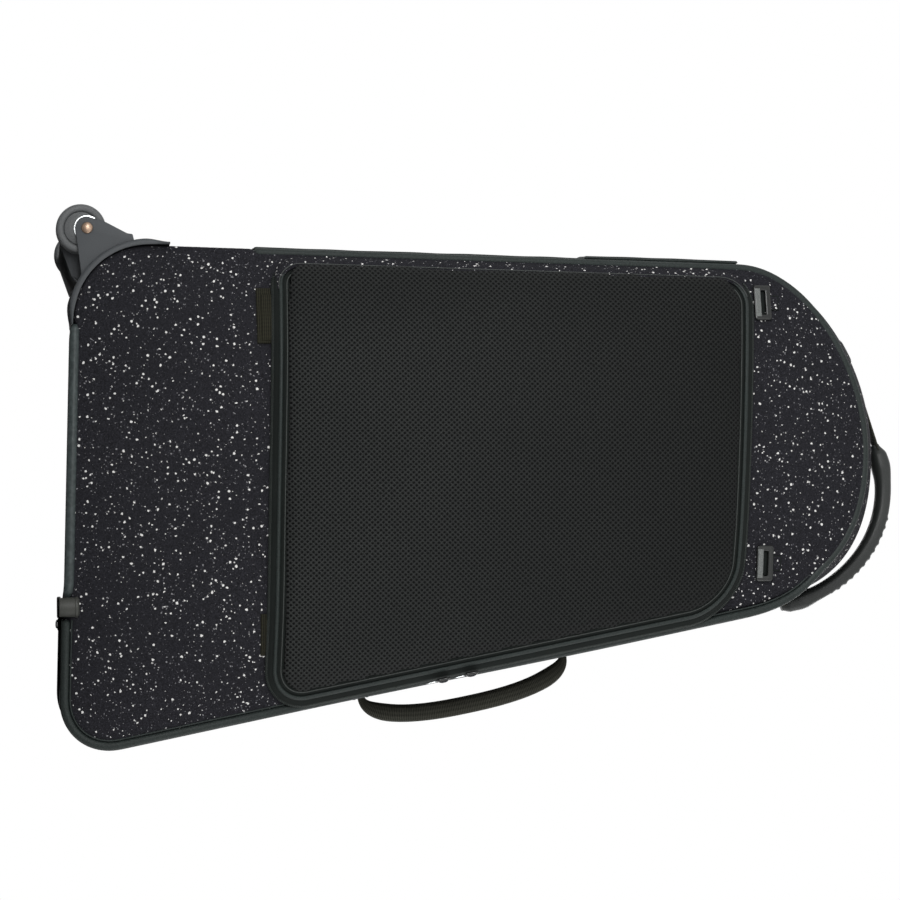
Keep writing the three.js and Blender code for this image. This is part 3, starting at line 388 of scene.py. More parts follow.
def back_depth(x, z):
    """Depth of the crowned back: the share is a place's distance from the middle over the outline's
    distance in the same direction."""
    right, up = x - case_middle[0], z - case_middle[1]
    reach = np.interp(np.arctan2(up, right), sector, sector_reach, period=2 * np.pi)
    share = np.clip(np.hypot(right, up) / reach, 0, 1)
    return edge_y(back, z) - back["crown"] * (1 - share**2)


def waves(x, z, seed, length, count=9):
    """Plane sine waves of about the given length in random directions, between -1 and 1 in all."""
    rng = np.random.default_rng(seed)
    angle, phase = rng.uniform(0, 2 * np.pi, (2, count))
    size = length * rng.uniform(0.7, 1.5, count)
    total = sum(
        np.sin((x * np.cos(a) + z * np.sin(a)) * 2 * np.pi / s + p)
        for a, p, s in zip(angle, phase, size)
    )
    return total / np.sqrt(count) / 1.6


# %% [markdown]
# ## Finishes
# The cloth is coated with flecks, the binding is satin, the mesh is a knitted lattice, and the
# wheels and their bracket are moulded. Effects that several finishes share are node groups: they
# put out only colours, heights and roughness, and the shader stays in each material.

# %% Node group helpers
def new_group(name, inputs, outputs):
    """A shader group with float, colour or vector sockets, and its input and output nodes."""
    group = bpy.data.node_groups.new(name, "ShaderNodeTree")
    kinds = {"f": "NodeSocketFloat", "c": "NodeSocketColor", "v": "NodeSocketVector"}
    for label, kind, value in inputs:
        socket = group.interface.new_socket(label, in_out="INPUT", socket_type=kinds[kind])
        if value is not None:
            socket.default_value = value
    for label, kind in outputs:
        group.interface.new_socket(label, in_out="OUTPUT", socket_type=kinds[kind])
    return group, group.nodes.new("NodeGroupInput"), group.nodes.new("NodeGroupOutput")


def link(tree, source, target):
    tree.links.new(source, target)


def put(tree, kind, inputs=(), **settings):
    """A node with its settings. Each named or numbered input is set to a value or linked."""
    node = tree.nodes.new(kind)
    for key, value in settings.items():
        setattr(node, key, value)
    for key, value in dict(inputs).items():
        if isinstance(value, bpy.types.NodeSocket):
            link(tree, value, node.inputs[key])
        else:
            node.inputs[key].default_value = value
    return node


def maths(tree, operation, a, b=0.0, clamp=False):
    node = put(tree, "ShaderNodeMath", {0: a, 1: b}, operation=operation, use_clamp=clamp)
    return node.outputs[0]


def vectors(tree, operation, inputs):
    return put(tree, "ShaderNodeVectorMath", inputs, operation=operation).outputs[0]


def blend_colour(tree, share, a, b):
    return put(tree, "ShaderNodeMix", {0: share, 6: a, 7: b}, data_type="RGBA").outputs[2]


def ramp(tree, value, low, high, smooth=True):
    """0 below low and 1 above high."""
    node = put(
        tree,
        "ShaderNodeMapRange",
        {"Value": value, "From Min": low, "From Max": high},
        interpolation_type="SMOOTHSTEP" if smooth else "LINEAR",
    )
    return node.outputs["Result"]


def rgb(red, green, blue):
    """A colour written as 0 to 255 on screen, as the shader wants it."""
    value = np.array([red, green, blue]) / 255
    linear = np.where(value < 0.04045, value / 12.92, ((value + 0.055) / 1.055) ** 2.4)
    return (*linear.tolist(), 1.0)


def new_finish(name, sockets):
    """A material with a Principled shader, whose constant values sit on its own sockets."""
    material = bpy.data.materials.new(name)
    material.use_nodes = True
    tree = material.node_tree
    tree.nodes.clear()
    shader = put(tree, "ShaderNodeBsdfPrincipled", sockets)
    put(tree, "ShaderNodeOutputMaterial", {"Surface": shader.outputs[0]})
    return material, tree, shader


def use(tree, group, inputs):
    return put(tree, "ShaderNodeGroup", inputs, node_tree=group).outputs


def bump(tree, shader, height, distance, strength=1.0):
    """Height from 0 to 1 raises the surface by up to `distance` metres."""
    settings = {"Height": height, "Distance": distance, "Strength": strength}
    node = put(tree, "ShaderNodeBump", settings)
    link(tree, node.outputs[0], shader.inputs["Normal"])


def object_place(tree):
    return tree.nodes.new("ShaderNodeTexCoord").outputs["Object"]


def flat_place(tree):
    """Object coordinates laid flat: height of the case first, then its width."""
    parts = put(tree, "ShaderNodeSeparateXYZ", {0: object_place(tree)})
    return put(tree, "ShaderNodeCombineXYZ", {0: parts.outputs[2], 1: parts.outputs[0]}).outputs[0]


def uv_place(tree):
    return put(tree, "ShaderNodeUVMap", uv_map="length").outputs[0]


# %% [markdown]
# ### Shared effects
# Flecks are balls scattered through space that the cloth cuts through, which gives round and torn
# dots of many sizes. Their lattice is turned, so that no face of the case lies along its layers.
# Grain is fine noise. Ribs are waves across a strap. The lattice puts a hole at the corners and at
# the middle of each cell, which is how knitted spacer mesh looks.

# %% Flecks, grain, ribs and lattice
fleck_group, tree_in, tree_out = new_group(
    "flecks",
    [("Place", "v", None), ("Spacing", "f", 0.0085), ("Largest", "f", 0.24), ("Chance", "f", 0.8)],
    [("Mask", "f"), ("Tint", "f")],
)
fine_noise = {"Vector": tree_in.outputs[0], "Scale": 560.0, "Detail": 2.0}
warp = put(fleck_group, "ShaderNodeTexNoise", fine_noise)
centred = vectors(fleck_group, "SUBTRACT", {0: warp.outputs["Color"], 1: (0.5, 0.5, 0.5)})
nudge = vectors(fleck_group, "SCALE", {0: centred, "Scale": 0.0024})
turned = put(
    fleck_group,
    "ShaderNodeVectorRotate",
    {"Vector": tree_in.outputs[0], "Axis": (0.6, 0.5, 0.62), "Angle": 0.9},
    rotation_type="AXIS_ANGLE",
)
torn = vectors(fleck_group, "ADD", {0: turned.outputs[0], 1: nudge})
per_metre = maths(fleck_group, "DIVIDE", 1.0, tree_in.outputs[1])
cells = put(fleck_group, "ShaderNodeTexVoronoi", {"Vector": torn, "Scale": per_metre})
random = put(fleck_group, "ShaderNodeSeparateColor", {0: cells.outputs["Color"]})
shown = maths(fleck_group, "LESS_THAN", random.outputs[0], tree_in.outputs[3])
mostly_small = maths(fleck_group, "POWER", random.outputs[1], 1.4)
size = maths(fleck_group, "MULTIPLY", mostly_small, tree_in.outputs[2])
rim = maths(fleck_group, "SUBTRACT", size, cells.outputs["Distance"])
spot = maths(fleck_group, "MULTIPLY", rim, 22.0, clamp=True)
link(fleck_group, maths(fleck_group, "MULTIPLY", spot, shown), tree_out.inputs[0])
link(fleck_group, random.outputs[2], tree_out.inputs[1])

grain_group, tree_in, tree_out = new_group(
    "grain",
    [("Place", "v", None), ("Fine", "f", 900.0), ("Broad", "f", 14.0)],
    [("Fine", "f"), ("Broad", "f")],
)
for index, detail in ((1, 3.0), (2, 4.0)):
    noise = put(
        grain_group,
        "ShaderNodeTexNoise",
        {"Vector": tree_in.outputs[0], "Scale": tree_in.outputs[index], "Detail": detail},
    )
    link(grain_group, ramp(grain_group, noise.outputs[0], 0.3, 0.7), tree_out.inputs[index - 1])

rib_group, tree_in, tree_out = new_group(
    "ribs",
    [("Place", "v", None), ("Along", "f", 0.0021), ("Across", "f", 0.0018), ("Depth", "f", 0.35)],
    [("Height", "f"), ("Shade", "f")],
)
parts = put(rib_group, "ShaderNodeSeparateXYZ", {0: tree_in.outputs[0]})


def turns_of(tree, value, pitch):
    """The angle 2 pi value / pitch."""
    return maths(tree, "MULTIPLY", maths(tree, "DIVIDE", value, pitch), 2 * np.pi)


def wave(tree, value, pitch):
    """(1 + sin(2 pi value / pitch)) / 2."""
    sine = maths(tree, "SINE", turns_of(tree, value, pitch))
    return maths(tree, "ADD", maths(tree, "MULTIPLY", sine, 0.5), 0.5)


along_wave = wave(rib_group, parts.outputs[0], tree_in.outputs[1])
across_wave = wave(rib_group, parts.outputs[1], tree_in.outputs[2])
across_part = maths(rib_group, "MULTIPLY", across_wave, tree_in.outputs[3])
total = maths(rib_group, "ADD", along_wave, across_part)
height = maths(rib_group, "DIVIDE", total, maths(rib_group, "ADD", tree_in.outputs[3], 1.0))
link(rib_group, height, tree_out.inputs[0])
link(rib_group, ramp(rib_group, height, 0.15, 0.8), tree_out.inputs[1])

lattice_group, tree_in, tree_out = new_group(
    "lattice",
    [("Place", "v", None), ("Along", "f", 0.00577), ("Across", "f", 0.00536)],
    [("Hole", "f"), ("Height", "f")],
)
parts = put(lattice_group, "ShaderNodeSeparateXYZ", {0: tree_in.outputs[0]})
turns = [turns_of(lattice_group, parts.outputs[k], tree_in.outputs[k + 1]) for k in (0, 1)]
two_waves = [maths(lattice_group, "COSINE", turn) for turn in turns]
half_sum = maths(lattice_group, "MULTIPLY", maths(lattice_group, "ADD", *two_waves), 0.5)
near_hole = maths(lattice_group, "ABSOLUTE", half_sum)
link(lattice_group, ramp(lattice_group, near_hole, 0.42, 0.78), tree_out.inputs[0])
link(lattice_group, ramp(lattice_group, near_hole, 0.85, 0.1), tree_out.inputs[1])

# %% [markdown]
# ### The finishes themselves
# Colours are written as they look on screen. Cloth and rubber are rough, satin and mouldings are
# half rough, and only the small metal parts are smooth.

# %% Cloth, mesh, webbing, satin, plastic, rubber and metal
def flecked_cloth():
    look = {"Roughness": 0.86, "Specular IOR Level": 0.08}
    material, tree, shader = new_finish("flecked_cloth", look)
    place = object_place(tree)
    grain = use(tree, grain_group, {"Place": place, "Fine": 620.0, "Broad": 9.0})
    base = blend_colour(tree, grain[0], rgb(27, 27, 30), rgb(45, 45, 50))
    base = blend_colour(tree, maths(tree, "MULTIPLY", grain[1], 0.35), base, rgb(33, 33, 37))
    layers = (
        (0.0024, 0.28, 0.9, rgb(76, 76, 81)),
        (0.0031, 0.30, 0.8, rgb(132, 132, 135)),
        (0.0044, 0.34, 0.78, rgb(224, 223, 221)),
    )
    for spacing, largest, chance, tone in layers:
        layer = {"Place": place, "Spacing": spacing, "Largest": largest, "Chance": chance}
        spots = use(tree, fleck_group, layer)
        base = blend_colour(tree, spots[0], base, tone)
    link(tree, base, shader.inputs["Base Color"])
    bump(tree, shader, grain[0], 0.00035, 0.5)
    return material


def plain_finish(
    name, dark, light, roughness, fine=900.0, height=0.0002, level=0.5, metal=0.0, swing=0.12
):
    """A finish with fine grain in its colour and its surface, and broad noise in its roughness."""
    material, tree, shader = new_finish(name, {"Specular IOR Level": level, "Metallic": metal})
    grain = use(tree, grain_group, {"Place": object_place(tree), "Fine": fine, "Broad": 16.0})
    link(tree, blend_colour(tree, grain[0], rgb(*dark), rgb(*light)), shader.inputs["Base Color"])
    limits = {"Value": grain[1], "To Min": roughness - swing / 2, "To Max": roughness + swing / 2}
    link(tree, put(tree, "ShaderNodeMapRange", limits).outputs[0], shader.inputs["Roughness"])
    if height:
        bump(tree, shader, grain[0], height, 0.6)
    return material


def ribbed_finish(
    name, dark, light, along, across, roughness=0.8, depth=0.35, height=0.0004, flat=False
):
    """Ribs along the piece's own length, or on Object coordinates for pieces without a UV map."""
    material, tree, shader = new_finish(name, {"Roughness": roughness, "Specular IOR Level": 0.14})
    place = flat_place(tree) if flat else uv_place(tree)
    ribs = use(tree, rib_group, {"Place": place, "Along": along, "Across": across, "Depth": depth})
    grain = use(tree, grain_group, {"Place": object_place(tree), "Fine": 1100.0, "Broad": 20.0})
    tone = blend_colour(tree, ribs[1], rgb(*dark), rgb(*light))
    shade = blend_colour(tree, maths(tree, "MULTIPLY", grain[1], 0.3), tone, rgb(*dark))
    link(tree, shade, shader.inputs["Base Color"])
    bump(tree, shader, ribs[0], height, 0.9)
    return material


def spacer_mesh():
    look = {"Roughness": 0.82, "Specular IOR Level": 0.1}
    material, tree, shader = new_finish("spacer_mesh", look)
    lattice = use(tree, lattice_group, {"Place": flat_place(tree)})
    grain = use(tree, grain_group, {"Place": object_place(tree), "Fine": 1300.0, "Broad": 7.0})
    yarn = blend_colour(tree, grain[0], rgb(36, 37, 37), rgb(58, 60, 59))
    yarn = blend_colour(tree, maths(tree, "MULTIPLY", grain[1], 0.25), yarn, rgb(36, 38, 38))
    # Painted shade: the yarn is darkened towards the dome end (high Z) and towards the hinge edge
    # (low X), where the light falls off across the panel.
    where = put(tree, "ShaderNodeSeparateXYZ", {0: object_place(tree)})
    painted_dome_shade = maths(tree, "MULTIPLY", ramp(tree, where.outputs[2], 0.26, 0.76, smooth=False), 0.6)
    edge = maths(tree, "MULTIPLY", ramp(tree, where.outputs[0], -0.1, -0.2), 0.3)
    yarn = blend_colour(tree, maths(tree, "MAXIMUM", painted_dome_shade, edge), yarn, rgb(20, 21, 21))
    link(tree, blend_colour(tree, lattice[0], yarn, rgb(6, 7, 7)), shader.inputs["Base Color"])
    bump(tree, shader, lattice[1], 0.0012, 0.8)
    return material


cloth = flecked_cloth()
mesh_cloth = spacer_mesh()
satin = plain_finish("satin_binding", (28, 33, 32), (42, 50, 48), 0.55, 700.0, 0.00025, level=0.25)
rail_skin = plain_finish("rail_skin", (50, 58, 58), (68, 76, 76), 0.45, 240.0, 0.0001, level=0.3)
dark_tape = ribbed_finish("dark_tape", (18, 21, 20), (34, 39, 37), 0.0011, 0.0014)
coil = plain_finish("coil_nylon", (40, 44, 42), (58, 64, 61), 0.5, 600.0, 0.0, level=0.25)
lining = plain_finish("brushed_lining", (22, 22, 25), (36, 36, 40), 0.95, 480.0, 0.0006, level=0.1)
foam_cloth = ribbed_finish(
    "foam_cloth", (26, 26, 29), (42, 42, 46), 0.0016, 0.0016, 0.9, 1.0, 0.0003, flat=True
)
webbing = ribbed_finish("webbing", (20, 20, 14), (50, 49, 40), 0.0021, 0.0035)
handle_web = ribbed_finish(
    "handle_webbing", (38, 38, 33), (74, 74, 66), 0.0019, 0.0042, 0.75, 0.5, 0.0005
)
tab_web = ribbed_finish("tab_webbing", (20, 20, 14), (50, 49, 38), 0.0042, 0.0021, 0.8, 3.0)
thread = plain_finish("thread", (44, 48, 46), (70, 74, 72), 0.8, 1500.0, 0.0)
moulding = plain_finish(
    "grey_moulding", (66, 69, 71), (76, 79, 82), 0.5, 1500.0, 0.00006, level=0.25
)
tyre_rubber = plain_finish(
    "tyre_rubber", (84, 86, 87), (98, 100, 101), 0.45, 1100.0, 0.00008, level=0.3
)
gloss = plain_finish(
    "gloss_black", (26, 28, 27), (34, 36, 35), 0.26, 900.0, 0.00003, level=0.4, swing=0.06
)
# Painted highlight: a pale grey that stands for the light on the lower bar of each strap loop.
bar_sheen = plain_finish(
    "bar_sheen", (92, 95, 94), (122, 125, 123), 0.35, 900.0, 0.00003, level=0.3
)
foot_cap = plain_finish("foot_cap", (62, 63, 60), (74, 75, 71), 0.42, 1200.0, 0.00005, level=0.3)
grip_rubber = plain_finish(
    "grip_rubber", (38, 40, 39), (52, 55, 54), 0.42, 1300.0, 0.0001, level=0.35
)
steel = plain_finish(
    "bright_steel", (196, 200, 201), (222, 225, 226), 0.24, 2500.0, 0.00002, metal=1.0
)
copper = plain_finish(
    "warm_rivet", (150, 126, 108), (176, 152, 132), 0.32, 2200.0, 0.00002, metal=1.0
)
dark_metal = plain_finish(
    "slider_metal", (44, 46, 48), (58, 60, 62), 0.32, 1800.0, 0.00002, metal=0.8
)
print("finishes", len(bpy.data.materials))

# %% [markdown]
# ## Light and background
# Four broad soft lamps and an even world give the flat studio light of a catalogue picture. The
# white is what the camera sees of the world: it adds no light to the case.

# %% World, lamps and floor
world = bpy.data.worlds.new("studio")
bpy.context.scene.world = world
world.use_nodes = True
sky = world.node_tree
sky.nodes.clear()
light_path = sky.nodes.new("ShaderNodeLightPath")
soft = put(sky, "ShaderNodeBackground", {"Color": (1, 1, 1, 1), "Strength": 0.40})
white = put(sky, "ShaderNodeBackground", {"Color": (1, 1, 1, 1), "Strength": 1.0})
camera_ray, glossy_ray, clear_ray = (
    light_path.outputs[f"Is {kind} Ray"] for kind in ("Camera", "Glossy", "Transmission")
)
seen = maths(sky, "MAXIMUM", maths(sky, "MAXIMUM", camera_ray, glossy_ray), clear_ray)
both = put(sky, "ShaderNodeMixShader", {0: seen, 1: soft.outputs[0], 2: white.outputs[0]})
put(sky, "ShaderNodeOutputWorld", {"Surface": both.outputs[0]})


def soft_lamp(name, place, target, size, power):
    lamp = bpy.data.objects.new(name, bpy.data.lights.new(name, "AREA"))
    lamp.data.shape = "RECTANGLE"
    lamp.data.size, lamp.data.size_y = size
    lamp.data.energy = power
    lamp.location = place
    lamp.rotation_euler = (Vector(target) - Vector(place)).to_track_quat("-Z", "Y").to_euler()
    bpy.context.scene.collection.objects.link(lamp)


middle = (0.0, 0.0, 0.43)
low_middle = (0.0, 0.0, 0.2)
for name, place, target, size, watts in (
    ("lamp_base_side", (-1.0, -2.5, 0.15), low_middle, (1.5, 1.2), 46),
    ("lamp_front", (0.6, -3.0, 2.2), middle, (2.2, 2.2), 9),
    ("lamp_handle_side", (2.2, -0.4, 0.9), middle, (1.6, 2.0), 13),
    ("lamp_back", (0.4, 3.0, 1.8), middle, (2.4, 2.4), 45),
):
    soft_lamp(name, place, target, size, watts)

view = bpy.context.scene.view_settings
view.view_transform = "Standard"

# %% [markdown]
# ## The floor
# The case stands on a pale floor that takes its shadow. The photograph's camera is a little below
# the level of the base, so the floor's underside is clear.

# %% Floor
look = {"Base Color": (0.9, 0.9, 0.9, 1), "Roughness": 0.9}
floor_material, tree, shader = new_finish("floor", look)
clear = tree.nodes.new("ShaderNodeBsdfTransparent")
under = tree.nodes.new("ShaderNodeNewGeometry")
choice = {0: under.outputs["Backfacing"], 1: shader.outputs[0], 2: clear.outputs[0]}
either = put(tree, "ShaderNodeMixShader", choice)
link(tree, either.outputs[0], tree.nodes["Material Output"].inputs["Surface"])
floor_half = 1400.0
corners = np.array([[-1, -1, 0], [1, -1, 0], [1, 1, 0], [-1, 1, 0]]) * floor_half
floor = mesh_from("floor", corners, [np.array([[0, 1, 2, 3]])])
floor.data.materials.append(floor_material)

# %% [markdown]
# ## The two shells
# Each half is one closed surface: from the middle of its face out to the edge, round the groove
# that the roll sits in, along the wall to the rim, and back inside at the wall's thickness. Foam
# under cloth is never quite flat, so slow waves and one broad dent move the faces by a millimetre
# or two.

# %% Shell surfaces
wall_thickness = 12
rim_gap = 0.15
rebate_width, rebate_depth = 12, 1.2


def face_relief(half, x, z):
    """Millimetres that the cloth stands proud of the crown: slow waves, less at the edges."""
    if half is back:
        dent = -2.6 * np.exp(-(((x - 40) / 95) ** 2 + ((z - 120) / 34) ** 2))
        swell = 1.2 * np.exp(-(((x + 60) / 90) ** 2 + ((z - 150) / 60) ** 2))
        return dent + swell + 0.9 * waves(x, z, 3, 170)
    return 1.6 * waves(x, z, 5, 240)


def face_rows(half, line, shares, inset, relief=True):
    """Rows of the face at shares of the way from the middle to the edge, `inset` further in."""
    out = edge_out(half, line)
    edge = stand(line, out, 0)[None]
    share = shares[:, None]
    x = mix(case_middle[0], edge[..., 0], share)
    z = mix(case_middle[1], edge[..., 2], share)
    depth = inset - half["crown"] * (1 - share**2)
    if relief:
        depth = depth - face_relief(half, x, z) * smoothstep(1 - share, 0.0, 0.12)
    return np.stack([x, edge_y(half, z) + half["way"] * depth, z], -1)


def wall_rows(half, line, insides, drop=0.0, ripple=0.0):
    """Rows of the wall, `drop` inside its outer face, with slight waves in the cloth."""
    out = wall_out(half, line, insides) - drop
    if ripple:
        out = out + ripple * waves(line["s"][None], insides[:, None], 11, 150)
    return np.stack([at_edge(half, line, row_out, inside) for row_out, inside in zip(out, insides)])


def rim_rows(line, outs, y):
    base = side_bulge + swell_of(line)
    return np.stack([stand(line, base + out, y) for out in outs])


def shell_grid(half):
    line = case_line
    rebate_y = split_y - half["way"] * rebate_width
    rim_y = split_y - half["way"] * rim_gap
    depth_here = abs(rebate_y - np.mean(half["edge"]))
    wall = np.linspace(9.5, min(depth_here - 34, 150), 16 if half is back else 5)
    bend = edge_out(half, line)
    edge_wall = wall_out(half, line, np.array([8.0]))[0] - (0 if half["grows"] else swell_of(line))
    groove = ((0.15, 1.8), (0.4, 5.0), (0.8, 7.6))
    rows = [
        face_rows(half, line, np.linspace(0.02, 1, 56), 0),
        [at_edge(half, line, bend + part * edge_wall, inside) for part, inside in groove],
        wall_rows(half, line, wall, ripple=0.5),
        rim_rows(line, [0], rebate_y - half["way"] * 6),
        rim_rows(line, [0, -rebate_depth], rebate_y),
        rim_rows(line, [-rebate_depth, -wall_thickness], rim_y),
        wall_rows(half, line, wall[::-1][:-1:4], drop=wall_thickness),
        face_rows(half, line, np.linspace(0.93, 0.02, 20), wall_thickness, relief=False),
    ]
    return np.concatenate(rows)


shell_back = surface("cloth_shell_back", shell_grid(back), caps="pole", sharp=50)
dress(shell_back, "case", cloth, ["back_shell"])
shell_front = surface("cloth_shell_front", shell_grid(front), caps="pole", sharp=50)
dress(shell_front, "lid", cloth, ["front_shell"])


def lining_grid(half):
    """A thin brushed skin inside the wall, and back again at its own thickness."""
    line = case_line
    rim_y = split_y - half["way"] * 3
    wall = np.linspace(20, 118, 5) if half is back else np.linspace(18, 24, 2)
    skin, room = wall_thickness + 0.4, wall_thickness + 2.8

    def rows(depth, way):
        out = edge_out(half, line) + side_bulge - depth
        inner = [
            rim_rows(line, [-depth], rim_y),
            wall_rows(half, line, wall[::-1], drop=depth),
            at_edge(half, line, out - 2, depth + 4)[None],
            face_rows(half, line, np.linspace(0.91, 0.02, 22), depth, relief=False),
        ]
        return np.concatenate(inner)[::way]

    return np.concatenate([rows(room, -1), rows(skin, 1)])


for half, body, label in ((back, "case", "back"), (front, "lid", "front")):
    piece = surface("lining_" + label, lining_grid(half), caps="pole", sharp=50)
    dress(piece, body, lining, [label + "_lining"])
print("shells", len(shell_back.data.polygons), len(shell_front.data.polygons))

# %% [markdown]
# ## Edge rolls and the rail
# A soft cord under satin binding runs round both faces. It is a tube carried along the outline,
# and stitching pulls it in a little every few millimetres. Round the wheels' corner the case's
# own cloth covers it. On the base of the back, a stiffer rail takes its place, because the case
# slides over kerbs on it.

# %% Tubes along an outline
def ring(radius, sides):
    turn = whole_turn(sides)
    return np.stack([np.cos(turn), np.sin(turn)], 1) * radius


def tube(name, stations, radius, sides=14, closed=False, scale=1.0):
    """A circle carried along stations. A station gives a centre, a way out and a way deep, and its
    points are centre + radius (cos a * out + sin a * deep)."""
    centre, out, deep = stations
    section = ring(1, sides)
    size = radius * scale * np.ones(len(centre))
    grid = (
        centre[:, None]
        + section[None, :, :1] * out[:, None] * size[:, None, None]
        + section[None, :, 1:] * deep[:, None] * size[:, None, None]
    )
    return surface(name, grid, wrap_rows=closed)


def roll_stations(half, line, out, inside):
    """Places on the binding, which stands further out on the handle side."""
    rise = smoothstep(line["p"][:, 1], 250, 600)
    out = out + mix(-3.2, 2.2 + 3 * rise, handle_share(line))
    centre = at_edge(half, line, edge_out(half, line) + out, inside)
    return centre, *ways(line)[1:]


def puckered(length, seed, depth=0.03):
    """1 with small dips where stitches pull, and slower swelling between them."""
    stitch_dip = np.abs(np.sin(length * np.pi / 9)) ** 8
    return 1 + depth * waves(length, 0 * length, seed, 55) - depth * stitch_dip


def index_near(line, x, z):
    return int(np.argmin(np.hypot(line["p"][:, 0] - x, line["p"][:, 1] - z)))


def base_index(x):
    return index_near(case_line, x, base_z(x))


roll_out, roll_inside, roll_radius = 2.9, 3.0, 4.5
binding_seams = ((-2.6, -0.3, 0.9), (7.2, 8.6, 1.0))
roll_end = base_index(141)
wheel_start = base_index(-160)
plain_end = index_near(case_line, hinge_side_x(204), 204)
count = len(case_line["p"])
bare_run = part_of(case_line, np.arange(wheel_start, plain_end + 1))
satin_run = part_of(case_line, np.arange(plain_end, roll_end + count + 1) % count)
runs = (
    ("back_plain", back, even(bare_run, 3.0), "case", [], False, cloth),
    ("back", back, even(satin_run, 3.0), "case", ["edge_roll_back"], False, satin),
    ("front", front, part_of(case_line, np.arange(count)), "lid", ["edge_roll_front"], True, satin),
)
for label, half, line, body, nodes, closed, finish in runs:
    size = puckered(line["s"], 21)
    if not closed:
        size = size * mix(0.3, 1, smoothstep(from_ends(line), -1, 4))
    if finish is cloth:
        size = size * 0.84
    stations = roll_stations(half, line, roll_out, roll_inside)
    roll = tube("edge_roll_" + label, stations, roll_radius, closed=closed, scale=size)
    dress(roll, body, finish, nodes)
    if finish is cloth:
        continue
    for number, (out, inside, radius) in enumerate(binding_seams):
        stations = roll_stations(half, line, out, inside)
        seam = tube(f"binding_seam_{label}_{number}", stations, radius, 8, closed)
        dress(seam, body, satin)

rail_line = even(part_of(case_line, np.arange(base_index(119), wheel_start + 1)), 6.0)
rail_size = 0.55 + 0.45 * smoothstep(from_ends(rail_line), -1, 5)
rail_out, rail_inside, rail_radius = 5.6, 2.6, 5.2
stations = roll_stations(back, rail_line, rail_out, rail_inside)
rail = tube("base_rail", stations, rail_radius, 20, scale=rail_size)
dress(rail, "case", rail_skin, ["skid_rail"])

# %% [markdown]
# ## Zips
# A coil zip is a nylon spring sewn to each tape. Seen from outside, each turn is a short bar
# across the edge, 1.5 mm from the next. One bar has twenty faces, and arrays place it more than a
# thousand times along the case.

# %% Repeating a small solid along a line
def capsule(length, width, height):
    """A rounded bar along its first axis: rings of a flat circle that shrink to its two ends."""
    rings, sides = 4, 6
    share = np.linspace(-1, 1, rings)
    size = np.sqrt(np.clip(1 - (np.abs(share) * 0.8) ** 4, 0.2, 1))
    section = ring(1, sides)
    points = np.zeros((rings, sides, 3))
    points[..., 0] = share[:, None] * length / 2
    points[..., 1] = section[None, :, 0] * size[:, None] * width / 2
    points[..., 2] = section[None, :, 1] * size[:, None] * height / 2
    row = np.arange(rings - 1)[:, None] * sides
    column = np.arange(sides)[None]
    following = (column + 1) % sides
    above = row + sides
    quads = np.stack([row + column, row + following, above + following, above + column], -1)
    caps = np.stack([np.arange(sides)[::-1], np.arange(sides) + (rings - 1) * sides])
    return points.reshape(-1, 3), quads.reshape(-1, 4), caps


def repeat(name, solid, places, axes):
    """Copies of a small solid: place + its coordinates along the three axes given at each place."""
    points, quads, caps = solid
    grid = places[:, None] + np.einsum("pk,nkj->npj", points, axes)
    shift = np.arange(len(places))[:, None, None] * len(points)
    faces = [(kind[None] + shift).reshape(-1, kind.shape[1]) for kind in (quads, caps)]
    flat = grid.reshape(-1, 3)
    if np.linalg.det(axes[0]) < 0:
        faces = [f[:, ::-1] for f in faces]
    uv = [flat[f.ravel()][:, [2, 0]] * MM for f in faces]
    return mesh_from(name, flat, faces, uv)


zip_pitch = 1.5
tooth_length = 3.4
rounds = case_line["rounds"]
zip_from = index_near(case_line, *rounds[0][7])
zip_to = index_near(case_line, *rounds[3][49])
zip_line = even(part_of(case_line, np.arange(zip_from, zip_to + 1)), zip_pitch)
wall_here = side_bulge + swell_of(zip_line)
along, out, deep = ways(zip_line)
for half, body, label in ((back, "case", "back"), (front, "lid", "front")):
    way = half["way"]
    tape_line = even(zip_line, 6.0)
    tape_wall = side_bulge + swell_of(tape_line)
    low, high = split_y - way * 11.6, split_y - way * 0.2
    section = [(-0.9, low), (-0.1, low), (0.0, split_y - way * 8), (0.0, high), (-0.9, high)]
    grid = np.stack([stand(tape_line, tape_wall + rise, y) for rise, y in section], 1)
    tape = surface("zip_tape_" + label, grid, sharp=40)
    dress(tape, body, dark_tape, ["zipper_" + label])
    shift = 0.0 if half is back else zip_pitch / 2
    place = stand(zip_line, wall_here + 0.5, split_y - way * (tooth_length / 2 - 0.5 + rim_gap))
    place = place + along * shift
    axes = np.stack([deep, along, out], 1)
    teeth = repeat("zip_teeth_" + label, capsule(tooth_length, 1.15, 1.7), place[:-1], axes[:-1])
    dress(teeth, body, coil)
print("teeth on each tape", len(zip_line["s"]) - 1)

# %% [markdown]
# ## The cloth that hinges the lid
# Where there is no zip, one strip of cloth joins the halves. It belongs to both, so it rides on
# neither body: its place is baked into its points.

# %% Hinge cloth
hinge_keep = np.arange(zip_to + 2, zip_from + count - 1) % count
hinge_line = even(part_of(case_line, hinge_keep), 6.0)
hinge_wall = side_bulge + swell_of(hinge_line)
half_strip, seam_at = 11.6, 8.6
across = np.linspace(-half_strip, half_strip, 13)
seam_dip = 0.3 * hump(np.abs(across), seam_at, 0.8)
puff = 0.5 * np.cos(across / half_strip * np.pi / 2) - seam_dip
top = [stand(hinge_line, hinge_wall + p, split_y + y) for y, p in zip(across, puff)]
under = [stand(hinge_line, hinge_wall - 0.9, split_y + y) for y in across[::-1]]
hinge_cloth = surface("hinge_cloth", np.stack(top + under, 1))
hinge_cloth.data.materials.append(dark_tape)
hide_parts("hinge_strip_back", "hinge_strip_front")
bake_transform(hinge_cloth)

# %% [markdown]
# ## Wear strips on the wheel side
# When the case is pulled up stairs it lands on this edge, so a long padded strip is sewn there,
# with a second layer over its upper part. A strip is a low pillow: its height rises over a
# rounded rim and dips along its seams.

